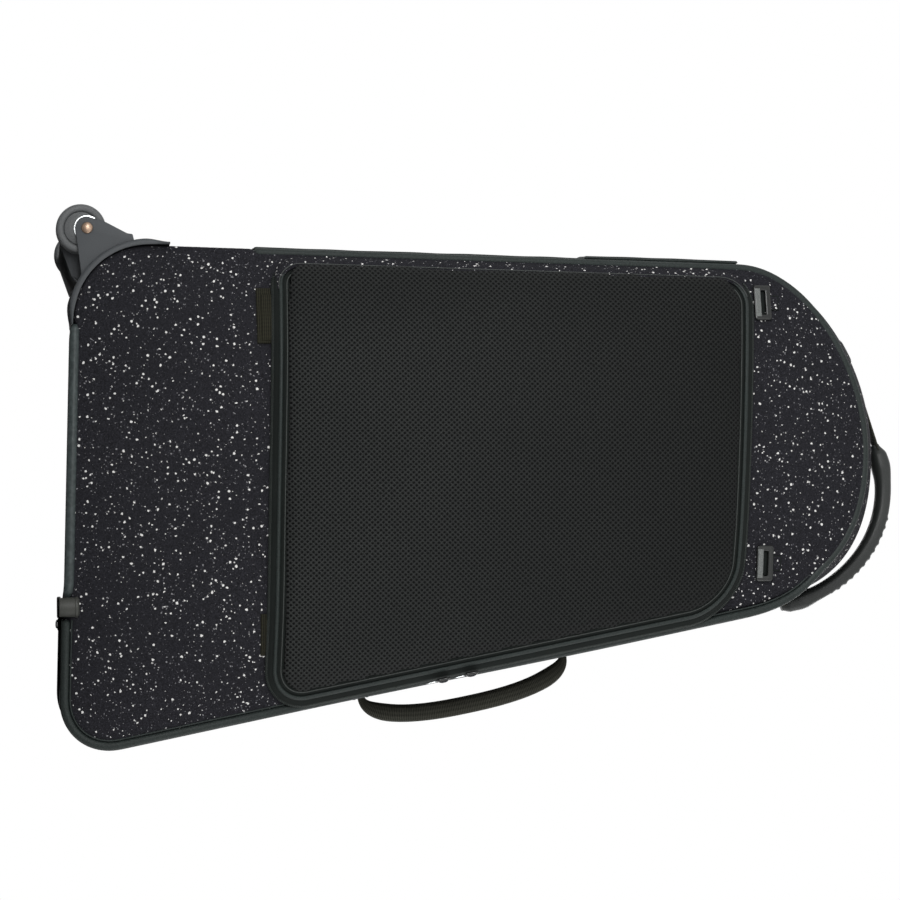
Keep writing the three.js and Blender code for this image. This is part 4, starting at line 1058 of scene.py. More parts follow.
# %% Wear strips
def pillow(length_share, width_share, rim=0.06):
    """1 on top, falling to 0 over a quarter ellipse of the given share at each border."""
    from_end = np.minimum(length_share, 1 - length_share) * 6
    near = np.minimum(from_end, np.minimum(width_share, 1 - width_share))
    return quarter_round(near / rim)


def dense_ends(margin, count):
    """Shares from 0 to 1 with six close ones at each end, where a rim is rounded."""
    low, high = np.linspace(0, margin, 6)[:-1], np.linspace(1 - margin, 1, 6)[1:]
    return np.concatenate([low, np.linspace(margin, 1 - margin, count), high])


def strip_grid(z_low, z_high, lift, thickness, in_low=8, width=52, seams=(0.16, 0.84)):
    """Top and underside of a strip on the hinge side wall, from `in_low` past the edge."""
    share_z, share_w = np.meshgrid(dense_ends(0.02, 80), dense_ends(0.08, 26), indexing="ij")
    height = thickness * pillow(share_z, share_w)
    seam_width = 1.1
    for seam in seams:
        height = height - 0.55 * np.exp(-(((share_w - seam) * width / seam_width) ** 2))
    level = z_low + (z_high - z_low) * share_z
    height = height + 0.35 * waves(level, share_w * width, 8, 60)
    slope = left_lean / case_top
    normal = np.array([-1, slope]) / np.hypot(1, slope)

    def place(rise):
        tuck = 4.2 * (1 - smoothstep(in_low + width * share_w, 4, 70))
        x = hinge_side_x(level) + normal[0] * (side_bulge + lift - tuck + rise)
        y = edge_y(back, level) + in_low + width * share_w
        return np.stack([x, y, level + normal[1] * rise], -1)

    return np.concatenate([place(height), place(0 * height - 0.2)[:, ::-1]], 1)


lower_strip = surface("wear_strip_long", strip_grid(204, 729, 0.2, 2.3), sharp=60)
dress(lower_strip, "case", satin, ["wear_strip"])
upper_grid = strip_grid(560, 729, 2.6, 2.4, seams=(0.1, 0.5, 0.9))
upper_strip = surface("wear_strip_over", upper_grid, sharp=60)
dress(upper_strip, "case", satin, ["wear_strip_upper"])

# %% [markdown]
# ## Wheels and their bracket
# One grey moulding wraps the corner that the case rolls on. It has four ears: each wheel turns on
# a stub axle from its inner ear, and a disc riveted to the outer ear closes it off. Plates are
# outlines with a rounded rim, and everything round is a profile turned about its axis.

# %% Plates and turned pieces
def plate(name, outline, y_low, y_high, rim):
    """A flat plate over an outline of (x, z), whose rim follows a quarter circle of that radius."""
    points = np.array(outline, float)
    line = outline_of(points, closed=True)
    following = np.roll(points, -1, 0)
    area = np.sum(points[:, 0] * following[:, 1] - following[:, 0] * points[:, 1])
    side = 1 if area < 0 else -1
    turn = np.linspace(0, np.pi / 2, 4)
    inset, drop = rim * (np.sin(turn) - 1), rim * (1 - np.cos(turn))
    offset = np.concatenate([inset, inset[::-1]])
    depth = np.concatenate([y_low + drop, y_high - drop[::-1]])
    grid = np.stack([stand(line, side * o, y) for o, y in zip(offset, depth)])
    return surface(name, grid, uv="place", sharp=35)


def curve_between(start, middle, end, steps):
    """A quadratic curve from start to end, drawn towards the middle point."""
    t = np.linspace(0, 1, steps)[:, None]
    return (1 - t) ** 2 * start + 2 * (1 - t) * t * middle + t**2 * end


def smooth_loop(corners, share=0.25):
    """A polygon whose corners are cut by curves that start a share of the shorter side away."""
    corners = np.array(corners, float)
    before, after = np.roll(corners, 1, 0) - corners, np.roll(corners, -1, 0) - corners
    long_before, long_after = (np.linalg.norm(v, axis=1)[:, None] for v in (before, after))
    reach = share * np.minimum(long_before, long_after)
    start = corners + before / long_before * reach
    end = corners + after / long_after * reach
    return curve_between(start[:, None], corners[:, None], end[:, None], 5).reshape(-1, 2)


def lathe(name, profile, centre, sides=64, closed=False):
    """A profile of (radius, depth) turned about a line along Y through the centre."""
    profile = np.array(profile, float)
    turn = whole_turn(sides)
    radius, depth = profile[:, :1], profile[:, 1:] + 0 * turn[None]
    x = centre[0] + radius * np.cos(turn)
    z = centre[2] + radius * np.sin(turn)
    grid = np.stack([x, centre[1] + depth, z], -1)
    return surface(name, grid, wrap_rows=closed, caps="pole", uv="place", sharp=35)


def rounded_profile(corners, radius):
    """Corners of (radius, depth) with each inner corner rounded by a quadratic curve."""
    corners = np.array(corners, float)
    parts = [corners[:1]]
    for before, here, after in zip(corners[:-2], corners[1:-1], corners[2:]):
        a, b = before - here, after - here
        run = min(radius, 0.45 * np.linalg.norm(a), 0.45 * np.linalg.norm(b))
        start, end = here + a / np.linalg.norm(a) * run, here + b / np.linalg.norm(b) * run
        parts.append(curve_between(start, here, end, 5))
    return np.vstack(parts + [corners[-1:]])


# %% Bracket
flange_to = index_near(case_line, hinge_side_x(118), 118)
flange_line = even(part_of(case_line, np.arange(wheel_start, flange_to + 1)), 3.0)
end_size = mix(0.35, 1, smoothstep(from_ends(flange_line), 0, 26))
near_y, far_y = -153.0, 124.0
lip = [(3.4, 0.3), (6.6, -0.4), (8.9, 0.6), (9.7, 2.6), (9.4, 5.0), (9.0, 7.4)]
turned_lip = [(o, -d) for o, d in lip[::-1]]
section = [(o, near_y + d) for o, d in lip] + [(12.2, near_y + 70), (12.2, far_y - 60)]
section += [(o, far_y + d) for o, d in turned_lip]
section += [(8.8, far_y - 40), (8.8, near_y + 74), (5.2, near_y + 24)]
base_out = 5.0
tuck = 9 * (1 - smoothstep(flange_line["s"], 6, 34))
grid = []
for o, y in section:
    tucked = tuck * smoothstep(y, near_y + 60, far_y - 60)
    grid.append(stand(flange_line, base_out + (o - base_out) * end_size - tucked, y))
flange = surface("bracket_saddle", np.stack(grid, 1), sharp=45)
dress(flange, "case", moulding, ["wheel_bracket"])

wheel_x, wheel_z = -260.3, 26.0
boss = np.array([wheel_x + 0.3, wheel_z + 6])
root_from, root_to = index_near(case_line, -203, 24), index_near(case_line, -240, 80)
root = part_of(case_line, np.arange(root_from, root_to))
root_points = (root["p"] + root["n"] * 7.5)[::-6]
arc = np.linspace(-np.pi / 2, -np.pi, 10)
boss_arc = boss + 12.2 * np.stack([np.cos(arc), np.sin(arc)], 1)
top_edge = smooth_loop(
    [(-272.2, 33), (-267.1, 49.4), (-254.5, 73.2), (-253.9, 78.6), (-246, 80.5), (-243, 60)]
)
top_edge = top_edge[5:25]
outer_ear = np.vstack([boss_arc, top_edge, root_points])
skid_tip = np.array([(-246, 4.6), (-258, 4.6)])
inner_ear = np.vstack([[(-213, 16)], skid_tip, [(-270.5, 20)], [(-272, 30)], top_edge, root_points])
wheel_depths = {"near": (-132.0, -1), "far": (103.0, 1)}
for side, (y, way) in wheel_depths.items():
    for name, outline, sign in (("outer", outer_ear, way), ("inner", inner_ear, -way)):
        low, high = sorted((y + sign * 14, y + sign * 18))
        ear = plate(f"bracket_ear_{side}_{name}", outline, low, high, 0.8)
        dress(ear, "case", moulding)
web_line = [(-258, 4.9), (-246, 4.9), (-213, 16.3), (-203, 24.3)]
web_line += [(-203, 27.5), (-213, 19.8), (-246, 8.2), (-258, 8.2)]
web = plate("bracket_skid_web", web_line, -116, 87, 0.6)
dress(web, "case", moulding)

# %% [markdown]
# ### Tyres, hubs and the small metal
# The tyre is a soft ring whose section is a superellipse. The hub is a smooth disc that fills it,
# slightly domed. Discs, axles and rivets are turned with rounded edges.

# %% Wheels
tyre_middle, tyre_half_height, tyre_half_width = 21.3, 4.6, 11.8
round_height, round_width = squared_circle(whole_turn(40), 3.6)
tyre_profile = np.stack(
    [tyre_middle + tyre_half_height * round_height, tyre_half_width * round_width], 1
)
half_hub = [(4.3, -11.2), (7, -11.9), (12, -11.7), (17.3, -10.6)]
hub_corners = half_hub + [(r, -d) for r, d in half_hub[::-1]] + half_hub[:1]
hub_profile = rounded_profile(hub_corners, 0.8)[:-1]
axle_corners = [(0.4, -20.3), (7, -20.3), (7, -18.4), (4, -18.4), (4, 10.4), (0.4, 10.4)]
disc_corners = [(2.8, 12.7), (13.6, 12.7), (13.6, 13.7), (2.8, 13.7), (2.8, 12.7)]
dome = np.linspace(0, np.pi / 2, 8)
head = [(6.0 * np.cos(a), 18.4 + 3.0 * np.sin(a)) for a in dome[:-1]] + [(0.3, 21.4)]
rivet_shank = [(0.3, 11.4), (3.5, 11.4), (3.5, 12.4), (2.4, 12.4), (2.4, 18.2), (5.7, 18.2)]


def turned(corners, way):
    return [(r, d * way) for r, d in corners]


for side, (y, way) in wheel_depths.items():
    centre = (wheel_x, y, wheel_z)
    pin_centre = (boss[0], y, boss[1])
    body = "wheel_" + side
    tyre = lathe("tyre_" + side + "_rubber", tyre_profile, centre, 96, closed=True)
    dress(tyre, body, tyre_rubber, ["tyre_" + side])
    hub = lathe("hub_" + side + "_moulding", hub_profile, centre, 80, closed=True)
    dress(hub, body, tyre_rubber, ["hub_" + side])
    axle_profile = rounded_profile(turned(axle_corners, way), 0.7)
    axle = lathe("axle_" + side + "_steel", axle_profile, centre, 40)
    dress(axle, "case", steel, ["axle_" + side])
    disc_profile = rounded_profile(turned(disc_corners, way), 0.3)[:-1]
    disc = lathe("retainer_" + side + "_disc", disc_profile, pin_centre, 72, closed=True)
    dress(disc, "case", steel, ["retainer_" + side])
    rivet = lathe("rivet_" + side + "_head", turned(rivet_shank + head, way), pin_centre, 48)
    dress(rivet, "case", copper, ["rivet_" + side])

# %% [markdown]
# ## The mesh panel over the strap pocket
# The shoulder straps are stowed under a padded flap of spacer mesh. On three sides it is zipped to
# a low wall that is sewn to the back, and on the wheel side it is sewn down with flecked cloth,
# which is where it turns. All its pieces are sections carried along one rounded outline, at a
# height over the crowned back.

# %% Outline of the panel
def panel_left(z):
    return hinge_side_x(z) + 14


def panel_right(z):
    return handle_side_x(z) - 2


panel_line = rounded_outline(
    [
        (panel_left(733), 733, 30, 30, as_a_circle),
        (panel_right(712) + 2.5, 712, 50, 50, as_a_circle),
        (panel_right(217), 217, 38, 38, as_a_circle),
        (panel_left(230), 230, 22, 22, as_a_circle),
    ],
    720,
)
panel_middle = panel_line["p"].mean(0)
corner_top, _, _, corner_base = panel_line["rounds"]
panel_count = len(panel_line["p"])
sewn_from = index_near(panel_line, *corner_base[-1])
sewn_to = index_near(panel_line, *corner_top[0])
sample = np.arange(panel_count)
inside_zip = np.minimum((sample - sewn_to) % panel_count, (sewn_from - sample) % panel_count)
spacing = panel_line["s"][-1] / panel_count
past_start, before_end = sample > sewn_from, sample < sewn_to
sewn = past_start & before_end if sewn_from < sewn_to else past_start | before_end
zipped = np.where(sewn, 0.0, smoothstep(inside_zip * spacing, 0, 26))


def on_back(line, out, height):
    """Points `out` from a line and `height` over the crowned back; both may be rows of values."""
    x = line["p"][:, 0] + line["n"][:, 0] * out
    z = line["p"][:, 1] + line["n"][:, 1] * out
    return np.stack([x, back_depth(x, z) - height, z], -1)


def along_panel(name, line, section, body, nodes=(), closed=False, scale=1.0):
    """Tape with a section of (out, height) along a line. `scale` shrinks it to its first point."""
    size = scale * np.ones(len(line["s"]))
    out0, height0 = section[0]
    grid = [on_back(line, mix(out0, o, size), mix(height0, h, size)) for o, h in section]
    piece = surface(name, np.stack(grid, 1), wrap_rows=closed, sharp=55)
    return dress(piece, body, dark_tape, nodes)


def samples_between(start, end):
    """The panel's samples from start up to end, past the outline's first sample if need be."""
    return np.arange(start, start + (end - start) % panel_count) % panel_count


zip_samples = samples_between(sewn_to + 4, sewn_from - 4)
flap_line = even(part_of(panel_line, zip_samples), 3.0)
flap_size = mix(0.2, 1, smoothstep(from_ends(flap_line), 0, 24))
print("zipped length", round(flap_line["s"][-1]), "mm")

# %% Wall of the pocket, both tapes, the piping and the border
wall_section = [(7.3, -0.6), (7.5, 1.6), (6.9, 4.2), (5.0, 5.9), (1.0, 8.0)]
wall_section += [(-3, 9.0), (-8, 9.2), (-9.6, 8.2), (-10, 0.2)]
whole_line = part_of(panel_line, sample)
along_panel(
    "pocket_wall", whole_line, wall_section, "case", ["panel_gusset"], closed=True
)
tape_section = [(7.6, -0.4), (8.7, -0.5), (8.9, 1.6), (8.4, 3.9), (7.5, 3.7), (7.7, 1.6)]
flap_tape_section = [(0.8, 10.3), (2.8, 9.1), (4.8, 7.5), (6.2, 6.0)]
flap_tape_section += [(6.9, 6.5), (5.6, 8.3), (3.3, 10.1), (0.9, 11.4)]
border_section = [(-4.0, 10.6), (-1.6, 10.5), (-2.2, 11.2), (-3.4, 11.3), (-4.3, 12.0)]
border_section += [(-5.6, 12.7), (-8.0, 13.4), (-9.8, 13.3), (-10.6, 12.2), (-10.4, 10.7)]
for name, section, body, slot in (
    ("pocket_zip_tape", tape_section, "case", "coil_nylon"),
    ("flap_zip_tape", flap_tape_section, "panel_flap", "satin_binding"),
    ("flap_border", border_section, "panel_flap", "satin_binding"),
):
    along_panel(name, flap_line, section, body, scale=flap_size)


def tube_on_back(name, line, place, radius, sides, body, finish, nodes=(), scale=1.0):
    """A round cord along a line on the panel; its place is how far out and how high it lies."""
    size = scale * np.ones(len(line["s"]))
    out, height = place
    section = ring(radius, sides)
    grid = [on_back(line, out + o * size, height + h * size) for o, h in section]
    piece = surface(name, np.stack(grid, 1))
    return dress(piece, body, finish, nodes)


stitch_place, piping_place = (-7.0, 13.3), (-0.9, 11.9)
tube_on_back(
    "flap_stitch", flap_line, stitch_place, 0.6, 8, "panel_flap", thread, ()
)
piping_size = flap_size * puckered(flap_line["s"], 31, 0.02)
tube_on_back(
    "flap_piping", flap_line, piping_place, 2.2, 12, "panel_flap", satin, ["panel_piping"],
    piping_size,
)
tooth_line = even(part_of(panel_line, zip_samples[6:-6]), zip_pitch)
along, out_way, deep = ways(tooth_line)
for label, body, out, height, shift in (
    ("case", "case", 8.1, 4.6, 0.0),
    ("flap", "panel_flap", 7.2, 6.1, 0.5),
):
    place = on_back(tooth_line, out, height) + along * zip_pitch * shift
    rise = np.array([-0.55, 0.83])
    lengthwise = out_way * rise[0] - deep * rise[1]
    across = out_way * rise[1] + deep * rise[0]
    axes = np.stack([lengthwise, along, across], 1)
    teeth = repeat("pocket_teeth_" + label, capsule(2.7, 1.15, 1.5), place[:-1], axes[:-1])
    dress(teeth, body, coil)

# %% [markdown]
# ### Flecked cloth where the panel turns
# This strip joins the case and the flap; it rides on neither body, and its place is baked into its
# points.

# %% Sewn side of the panel
turn_samples = samples_between(sewn_from - 16, sewn_to + 16)
turn_line = even(part_of(panel_line, turn_samples), 4.0)
skirt = [(-1.0, 12.9), (2.0, 12.6), (5.0, 10.9), (7.9, 7.2), (9.9, 3.0), (10.9, -0.5)]
skirt += [(9.4, -0.6), (8.6, 2.8), (6.6, 6.6), (4.0, 9.6), (0.8, 11.4), (-2.4, 11.4)]
squeeze = mix(0.62, 1.0, smoothstep(from_ends(turn_line), 0, 30))
grid = []
for o, h in skirt:
    ripple = 0.25 * waves(turn_line["s"], h, 44, 46)
    grid.append(on_back(turn_line, -1 + (o + 1) * squeeze, h + ripple))
turn_cloth = surface("panel_turning_cloth", np.stack(grid, 1), sharp=60)
turn_cloth.data.materials.append(cloth)
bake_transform(turn_cloth)
tube_on_back("panel_seam_line", turn_line, (1.3, 12.9), 0.55, 8, "panel_flap", thread)

# %% [markdown]
# ### Padded pieces
# A stuffed piece starts as a closed form, is remeshed evenly, and is blown up a little as cloth.
# Each point may move only a few millimetres, so seams stay where they were sewn. One subdivision
# follows.

# %% Blowing up a piece as cloth
def even_remesh(piece, voxel):
    """The piece's mesh replaced by an even one with faces of about `voxel` millimetres."""
    modifier = piece.modifiers.new("even", "REMESH")
    modifier.mode = "VOXEL"
    modifier.voxel_size = voxel * MM
    modifier.use_smooth_shade = True
    depsgraph = bpy.context.evaluated_depsgraph_get()
    mesh = bpy.data.meshes.new_from_object(piece.evaluated_get(depsgraph))
    piece.modifiers.clear()
    mesh.name = piece.name
    piece.data = mesh


def places_of(mesh):
    flat = np.empty(len(mesh.vertices) * 3, np.float32)
    mesh.vertices.foreach_get("co", flat)
    return flat.reshape(-1, 3).astype(float) / MM


def blow_up(piece, cap, weight=None):
    """Cloth with inner pressure and no gravity. No point moves further than cap x weight."""
    pressure, frames = 4.0, 20
    before = places_of(piece.data)
    scene = bpy.context.scene
    modifier = piece.modifiers.new("stuffing", "CLOTH")
    modifier.settings.use_pressure = True
    modifier.settings.uniform_pressure_force = pressure
    modifier.settings.effector_weights.gravity = 0
    modifier.settings.quality = 4
    modifier.point_cache.frame_end = frames
    for frame_number in range(1, frames + 1):
        scene.frame_set(frame_number)
    depsgraph = bpy.context.evaluated_depsgraph_get()
    after = places_of(piece.evaluated_get(depsgraph).data)
    piece.modifiers.clear()
    scene.frame_set(1)
    move = after - before
    size = np.linalg.norm(move, axis=1, keepdims=True)
    limit = cap * (np.ones(len(before)) if weight is None else weight(before))[:, None]
    after = before + move * np.minimum(1, limit / np.maximum(size, 1e-9))
    piece.data.vertices.foreach_set("co", (after * MM).astype(np.float32).ravel())
    piece.data.update()
    finer = piece.modifiers.new("finer", "SUBSURF")
    finer.levels = finer.render_levels = 1
    piece.data.polygons.foreach_set("use_smooth", np.ones(len(piece.data.polygons), bool))


# %% The mesh pad itself
edge_offset = mix(2.2, -7.0, zipped)
border = panel_line["p"] + panel_line["n"] * edge_offset[:, None]
border_line = {"p": border, "n": panel_line["n"], "s": panel_line["s"]}
reach_in = np.array([0.0, 0.25, 1.0, 2.4, 4.5, 7.5, 11, 15, 20])
pad_rim, pad_full, pad_radius = 11.2, 23.6, 17


def pad_height(inward):
    """The pad rises from its rim to its full height over almost a quarter ellipse."""
    share = np.clip(inward / pad_radius, 0, 1)
    return pad_rim + (pad_full - pad_rim) * np.sqrt(1 - (1 - share) ** 2.2)


def pad_dents(x, z):
    """Slow dents of about a millimetre, and one wide hollow towards the handle side."""
    hollow = -1.6 * np.exp(-(((x - 120) / 120) ** 2 + ((z - 420) / 150) ** 2))
    return 1.0 * waves(x, z, 61, 190) + hollow


def toward_middle(line, share):
    return {**line, "p": mix(line["p"], panel_middle, share)}


top_rows = [on_back(border_line, -r, pad_height(r)) for r in reach_in]
rim_line = {**border_line, "p": border - panel_line["n"] * reach_in[-1]}
for share in np.linspace(0, 0.98, 26)[1:]:
    here = toward_middle(rim_line, share)
    dent = pad_dents(here["p"][:, 0], here["p"][:, 1]) * smoothstep(share, 0, 0.2)
    top_rows.append(on_back(here, 0, pad_full + dent))
under_rows = [on_back(border_line, -0.2, 10.7)]
for share in np.linspace(0, 0.98, 16):
    under_rows.append(on_back(toward_middle(rim_line, share), 0, 10.6))
mesh_pad = surface("spacer_mesh_pad", np.stack(under_rows[::-1] + top_rows), caps="pole")
even_remesh(mesh_pad, 5.5)


def away_from_border(points):
    """0 at the pad's sewn border and underneath, 1 from 40 mm inside on top."""
    reach = np.min(np.linalg.norm(points[:, None, [0, 2]] - border[None, ::6], axis=2), axis=1)
    above = back_depth(points[:, 0], points[:, 2]) - points[:, 1]
    return smoothstep(reach, 2, 40) * smoothstep(above, 12, 20)


dress(mesh_pad, "panel_flap", mesh_cloth, ["mesh_panel"])
blow_up(mesh_pad, 2.2, away_from_border)
print("mesh pad", len(mesh_pad.data.polygons), "faces")

# %% [markdown]
# ## Sliders and pulls
# A zip slider is a small cast bridge, wider at its nose, with a bail for the pull. Each is a stack
# of superellipses |u/a|^p + |v/b|^p = 1 along a line, which gives soft casting edges.

# %% Stacked superellipses
def place_frame(origin, run, out):
    """Origin and three unit vectors: along the run, out of the surface, and sideways."""
    run = np.array(run, float) / np.linalg.norm(run)
    out = np.array(out, float)
    out = out - run * (out @ run)
    out = out / np.linalg.norm(out)
    return np.array(origin, float), run, out, np.cross(run, out)


def stack(name, place, stations, body, finish, nodes, power=3.0, sides=24, sharp=None):
    """A closed form through stations of (along, rise of its middle, half rise, half width)."""
    origin, run, out, side = place
    high, broad = squared_circle(whole_turn(sides), power)
    s = np.array(stations, float)
    rise = s[:, 1:2] + s[:, 2:3] * high[None]
    wide = s[:, 3:4] * broad[None]
    grid = origin + s[:, :1, None] * run + rise[..., None] * out + wide[..., None] * side
    piece = surface(name, grid, caps="pole", sharp=sharp)
    return dress(piece, body, finish, nodes)


cast = [(-7, 1.9, 0.5, 0.55), (-6.7, 1.9, 1.2, 0.82), (-5.5, 2.0, 1.55, 0.98)]
cast += [(-2, 2.1, 1.75, 0.84), (1, 2.1, 1.75, 0.8), (4.5, 2.0, 1.6, 0.94)]
cast += [(6.4, 1.9, 1.3, 0.84), (7, 1.9, 0.6, 0.5)]
bail = [(-4.8, 3.0, 0.5, 1.2), (-4.2, 4.1, 0.9, 1.5), (-2, 4.9, 0.9, 1.6)]
bail += [(2, 4.9, 0.9, 1.6), (4.6, 4.1, 0.9, 1.5), (5.4, 3.0, 0.5, 1.2)]
pull = [(7.6, 2.9, 0.5, 1.2), (8.2, 2.9, 0.9, 2.1), (10, 3.0, 0.8, 2.3)]
pull += [(13, 3.1, 0.7, 1.9), (17, 3.2, 0.55, 1.2), (19.2, 3.3, 0.3, 0.4)]


def slider(name, place, half_width, body, pull_body, node):
    """The cast, its bail, and the pull if it has one. The cast's widths are shares of its own."""
    stations = [(a, r, h, w * half_width) for a, r, h, w in cast]
    stack(name + "_cast", place, stations, body, gloss, [node])
    stack(name + "_bail", place, bail, body, dark_metal, ())
    if pull_body:
        stack(name + "_pull_tab", place, pull, pull_body, steel, [node + "_pull"])


def wall_point(place, normal, y=split_y):
    """Place on the outer wall at depth y, with its run downwards and its way out."""
    normal = np.array(normal) / np.hypot(*normal)
    out = side_bulge + dome_part_of(normal)
    x, z = np.array(place) + normal * out
    return (x, y, z), (normal[1], 0, -normal[0]), (normal[0], 0, normal[1])


handle_normal = (1, right_lean / case_top)
base_normal = (-base_rise / base_width, -1)
base_place = place_frame(*wall_point((149, base_z(149)), base_normal))
slider("base_slider", base_place, 6.0, "base_slider", None, "main_slider_base")
side_place = place_frame(*wall_point((handle_side_x(435), 435), handle_normal))
slider("side_slider", side_place, 6.0, "side_slider", "side_pull", "main_slider_side")
seat_out, seat_height = 8.16, 12.0
for label, z in (("lower", 395), ("upper", 425)):
    here = outline_of(np.array([(panel_right(v), v) for v in (z + 7, z, z - 7)], float))
    points = on_back(here, seat_out, seat_height)
    place = place_frame(points[1], points[2] - points[0], (here["n"][1][0], 0, here["n"][1][1]))
    name = "panel_slider_" + label
    slider(name, place, 5.4, label + "_slider", label + "_pull", name)

# %% [markdown]
# ## Feet
# A stiff cap on the end of the base rail and a low rubber foot under the far side carry the case
# when it stands upright.

# %% Feet
def upright(name, profile, centre, body, finish, nodes):
    """A profile of (radius, height) turned about a vertical line."""
    profile = np.array(profile, float)
    turn = whole_turn(64)
    x = centre[0] + profile[:, :1] * np.cos(turn)
    y = centre[1] + profile[:, :1] * np.sin(turn)
    grid = np.stack(np.broadcast_arrays(x, y, profile[:, 1:]), -1)
    piece = surface(name, grid, caps="pole", uv="place", sharp=40)
    return dress(piece, body, finish, nodes)


cap_corners = [(0.5, 0), (9.6, 0), (10, 8), (10, 16.6), (10.8, 16.8)]
cap_corners += [(10.8, 19), (9.4, 19.4), (8.6, 20.6), (0.5, 20.8)]
cap_profile = rounded_profile(cap_corners, 1.5)
upright("near_foot_cap", cap_profile, (130, -150), "case", foot_cap, ["near_foot"])
pad_profile = rounded_profile([(0.5, 0), (11, 0), (12, 1.2), (12, 4.2), (0.5, 4.2)], 0.9)
upright("far_foot_pad", pad_profile, (130, 105), "case", gloss, ["far_foot"])

# %% [markdown]
# ## Carry handle
# Padded webbing bowed from two sewn patches. The bow is half a superellipse, flat on top and steep
# at both ends, and the webbing shows fine ribs across its length.

# %% Handle and its patches
handle_low = wall_point((handle_side_x(322), 322), handle_normal, 0)
handle_high = wall_point((handle_side_x(545), 545), handle_normal, 0)
handle_run = np.subtract(handle_high[0], handle_low[0])
handle_place = place_frame(handle_low[0], handle_run, handle_low[2])
handle_span = float(np.linalg.norm(handle_run))
foot_rise, top_rise = 5.4, 39.5
bow_across, bow_up = squared_circle(np.linspace(np.pi, 0, 121), 2.4)
bow_along = handle_span / 2 * (1 + bow_across)
bow_rise = foot_rise + (top_rise - foot_rise) * bow_up
bow = np.stack([bow_along, bow_rise], 1)
way = np.gradient(bow, axis=0)
way /= np.linalg.norm(way, axis=1)[:, None]
grown = smoothstep(bow_rise, 7, 31)
half_thick, half_deep = mix(3.8, 9.6, grown), mix(3.8, 10.6, grown)
origin, run, out, side = handle_place
thick, broad = squared_circle(whole_turn(28), 2.9)
across, deep = half_thick[:, None] * thick, half_deep[:, None] * broad
along = bow[:, :1] - way[:, 1:] * across
rise = bow[:, 1:] + way[:, :1] * across
grid = origin + along[..., None] * run + rise[..., None] * out + deep[..., None] * side
handle_bow = surface("handle_bow", grid)
dress(handle_bow, "carry_handle", handle_web, ["side_handle"])


def mirrored(half, at):
    """Stations from the given ones, up to `at`, and their mirror image past it."""
    low = [(at - a, *rest) for a, *rest in half]
    return low + [(at + a, *rest) for a, *rest in half[::-1]]


patch_half = [(20, 1.2, 0.3, 14.5), (19.6, 1.2, 0.9, 16.4), (18, 1.3, 1.2, 17)]
cheek_half = [(1.5, 5.2, 3.0, 3.0), (1.1, 5.2, 4.2, 4.2)]
cheek_away = 7
for label, at in (("lower", 0.0), ("upper", handle_span)):
    patch, node = mirrored(patch_half, at), "handle_mount_" + label
    name = "handle_patch_" + label
    stack(name, handle_place, patch, "case", tab_web, [node], 9, 40, 60)
    for letter, cheek_at in (("a", at - cheek_away), ("b", at + cheek_away)):
        cheek, name = mirrored(cheek_half, cheek_at), f"handle_cheek_{label}_{letter}"
        stack(name, handle_place, cheek, "case", gloss, (), 2.6)

# %% [markdown]
# ## Grip over the dome
# A rubber grip slides on a flat strap that is anchored on both sides of the dome. It flares at
# both ends, and small ridges on its outside stop the fingers slipping. Its middle is a cubic
# curve.

# %% Dome grip and strap
def cubic(points, t):
    a, b, c, d = (np.array(p, float) for p in points)
    t = t[:, None]
    return (1 - t) ** 3 * a + 3 * (1 - t) ** 2 * t * b + 3 * (1 - t) * t**2 * c + t**3 * d


strap_y = 18


def ribbon(name, line, half_thick, half_wide, finish, nodes, power, sides=28, outer=0.0):
    """A superellipse along a line in the XZ plane. `outer` adds to the outside of the section."""
    up, wide = squared_circle(whole_turn(sides), power)
    full = np.ones(len(line["s"]))
    across = (half_thick * full)[:, None] * up + (outer * full)[:, None] * np.clip(up, 0, 1)
    depth = strap_y + (half_wide * full)[:, None] * wide
    x = line["p"][:, :1] + line["n"][:, :1] * across
    z = line["p"][:, 1:] + line["n"][:, 1:] * across
    piece = surface(name, np.stack([x, depth, z], -1), caps="pole")
    return dress(piece, "case", finish, nodes)


grip_points = [(-38, 910), (35, 937), (117, 900), (141, 799)]
grip_line = even(outline_of(cubic(grip_points, np.linspace(0, 1, 200))), 0.8)
share = grip_line["s"] / grip_line["s"][-1]
flare = mix(0.5, 1, smoothstep(share, 0, 0.05)) * mix(1, 0.62, smoothstep(share, 0.965, 1))
flare = flare * (0.86 + 0.17 * hump(share, 0.1, 0.055) + 0.2 * hump(share, 0.9, 0.05))
ridges = 1.3 * smoothstep(share, 0.3, 0.34) * (1 - smoothstep(share, 0.74, 0.78))
ridges = ridges * (0.5 + 0.5 * np.cos(grip_line["s"] * 2 * np.pi / 9.2)) ** 2
ribbon(
    "dome_grip_rubber", grip_line, 9.5 * flare, 14 * flare, grip_rubber, ["dome_grip"],
    2.8, 36, ridges,
)


def dome_part(corner, t_from, t_to):
    """Part of one round of the outline, out where the strap's middle lies on the cloth."""
    line = outline_of(case_line["rounds"][corner])
    last = len(line["p"]) - 1
    keep = np.arange(int(t_from * last), int(t_to * last) + 1)
    out = side_bulge + dome_part_of(line["n"][keep]) + 1.7
    return line["p"][keep] + line["n"][keep] * out[:, None]


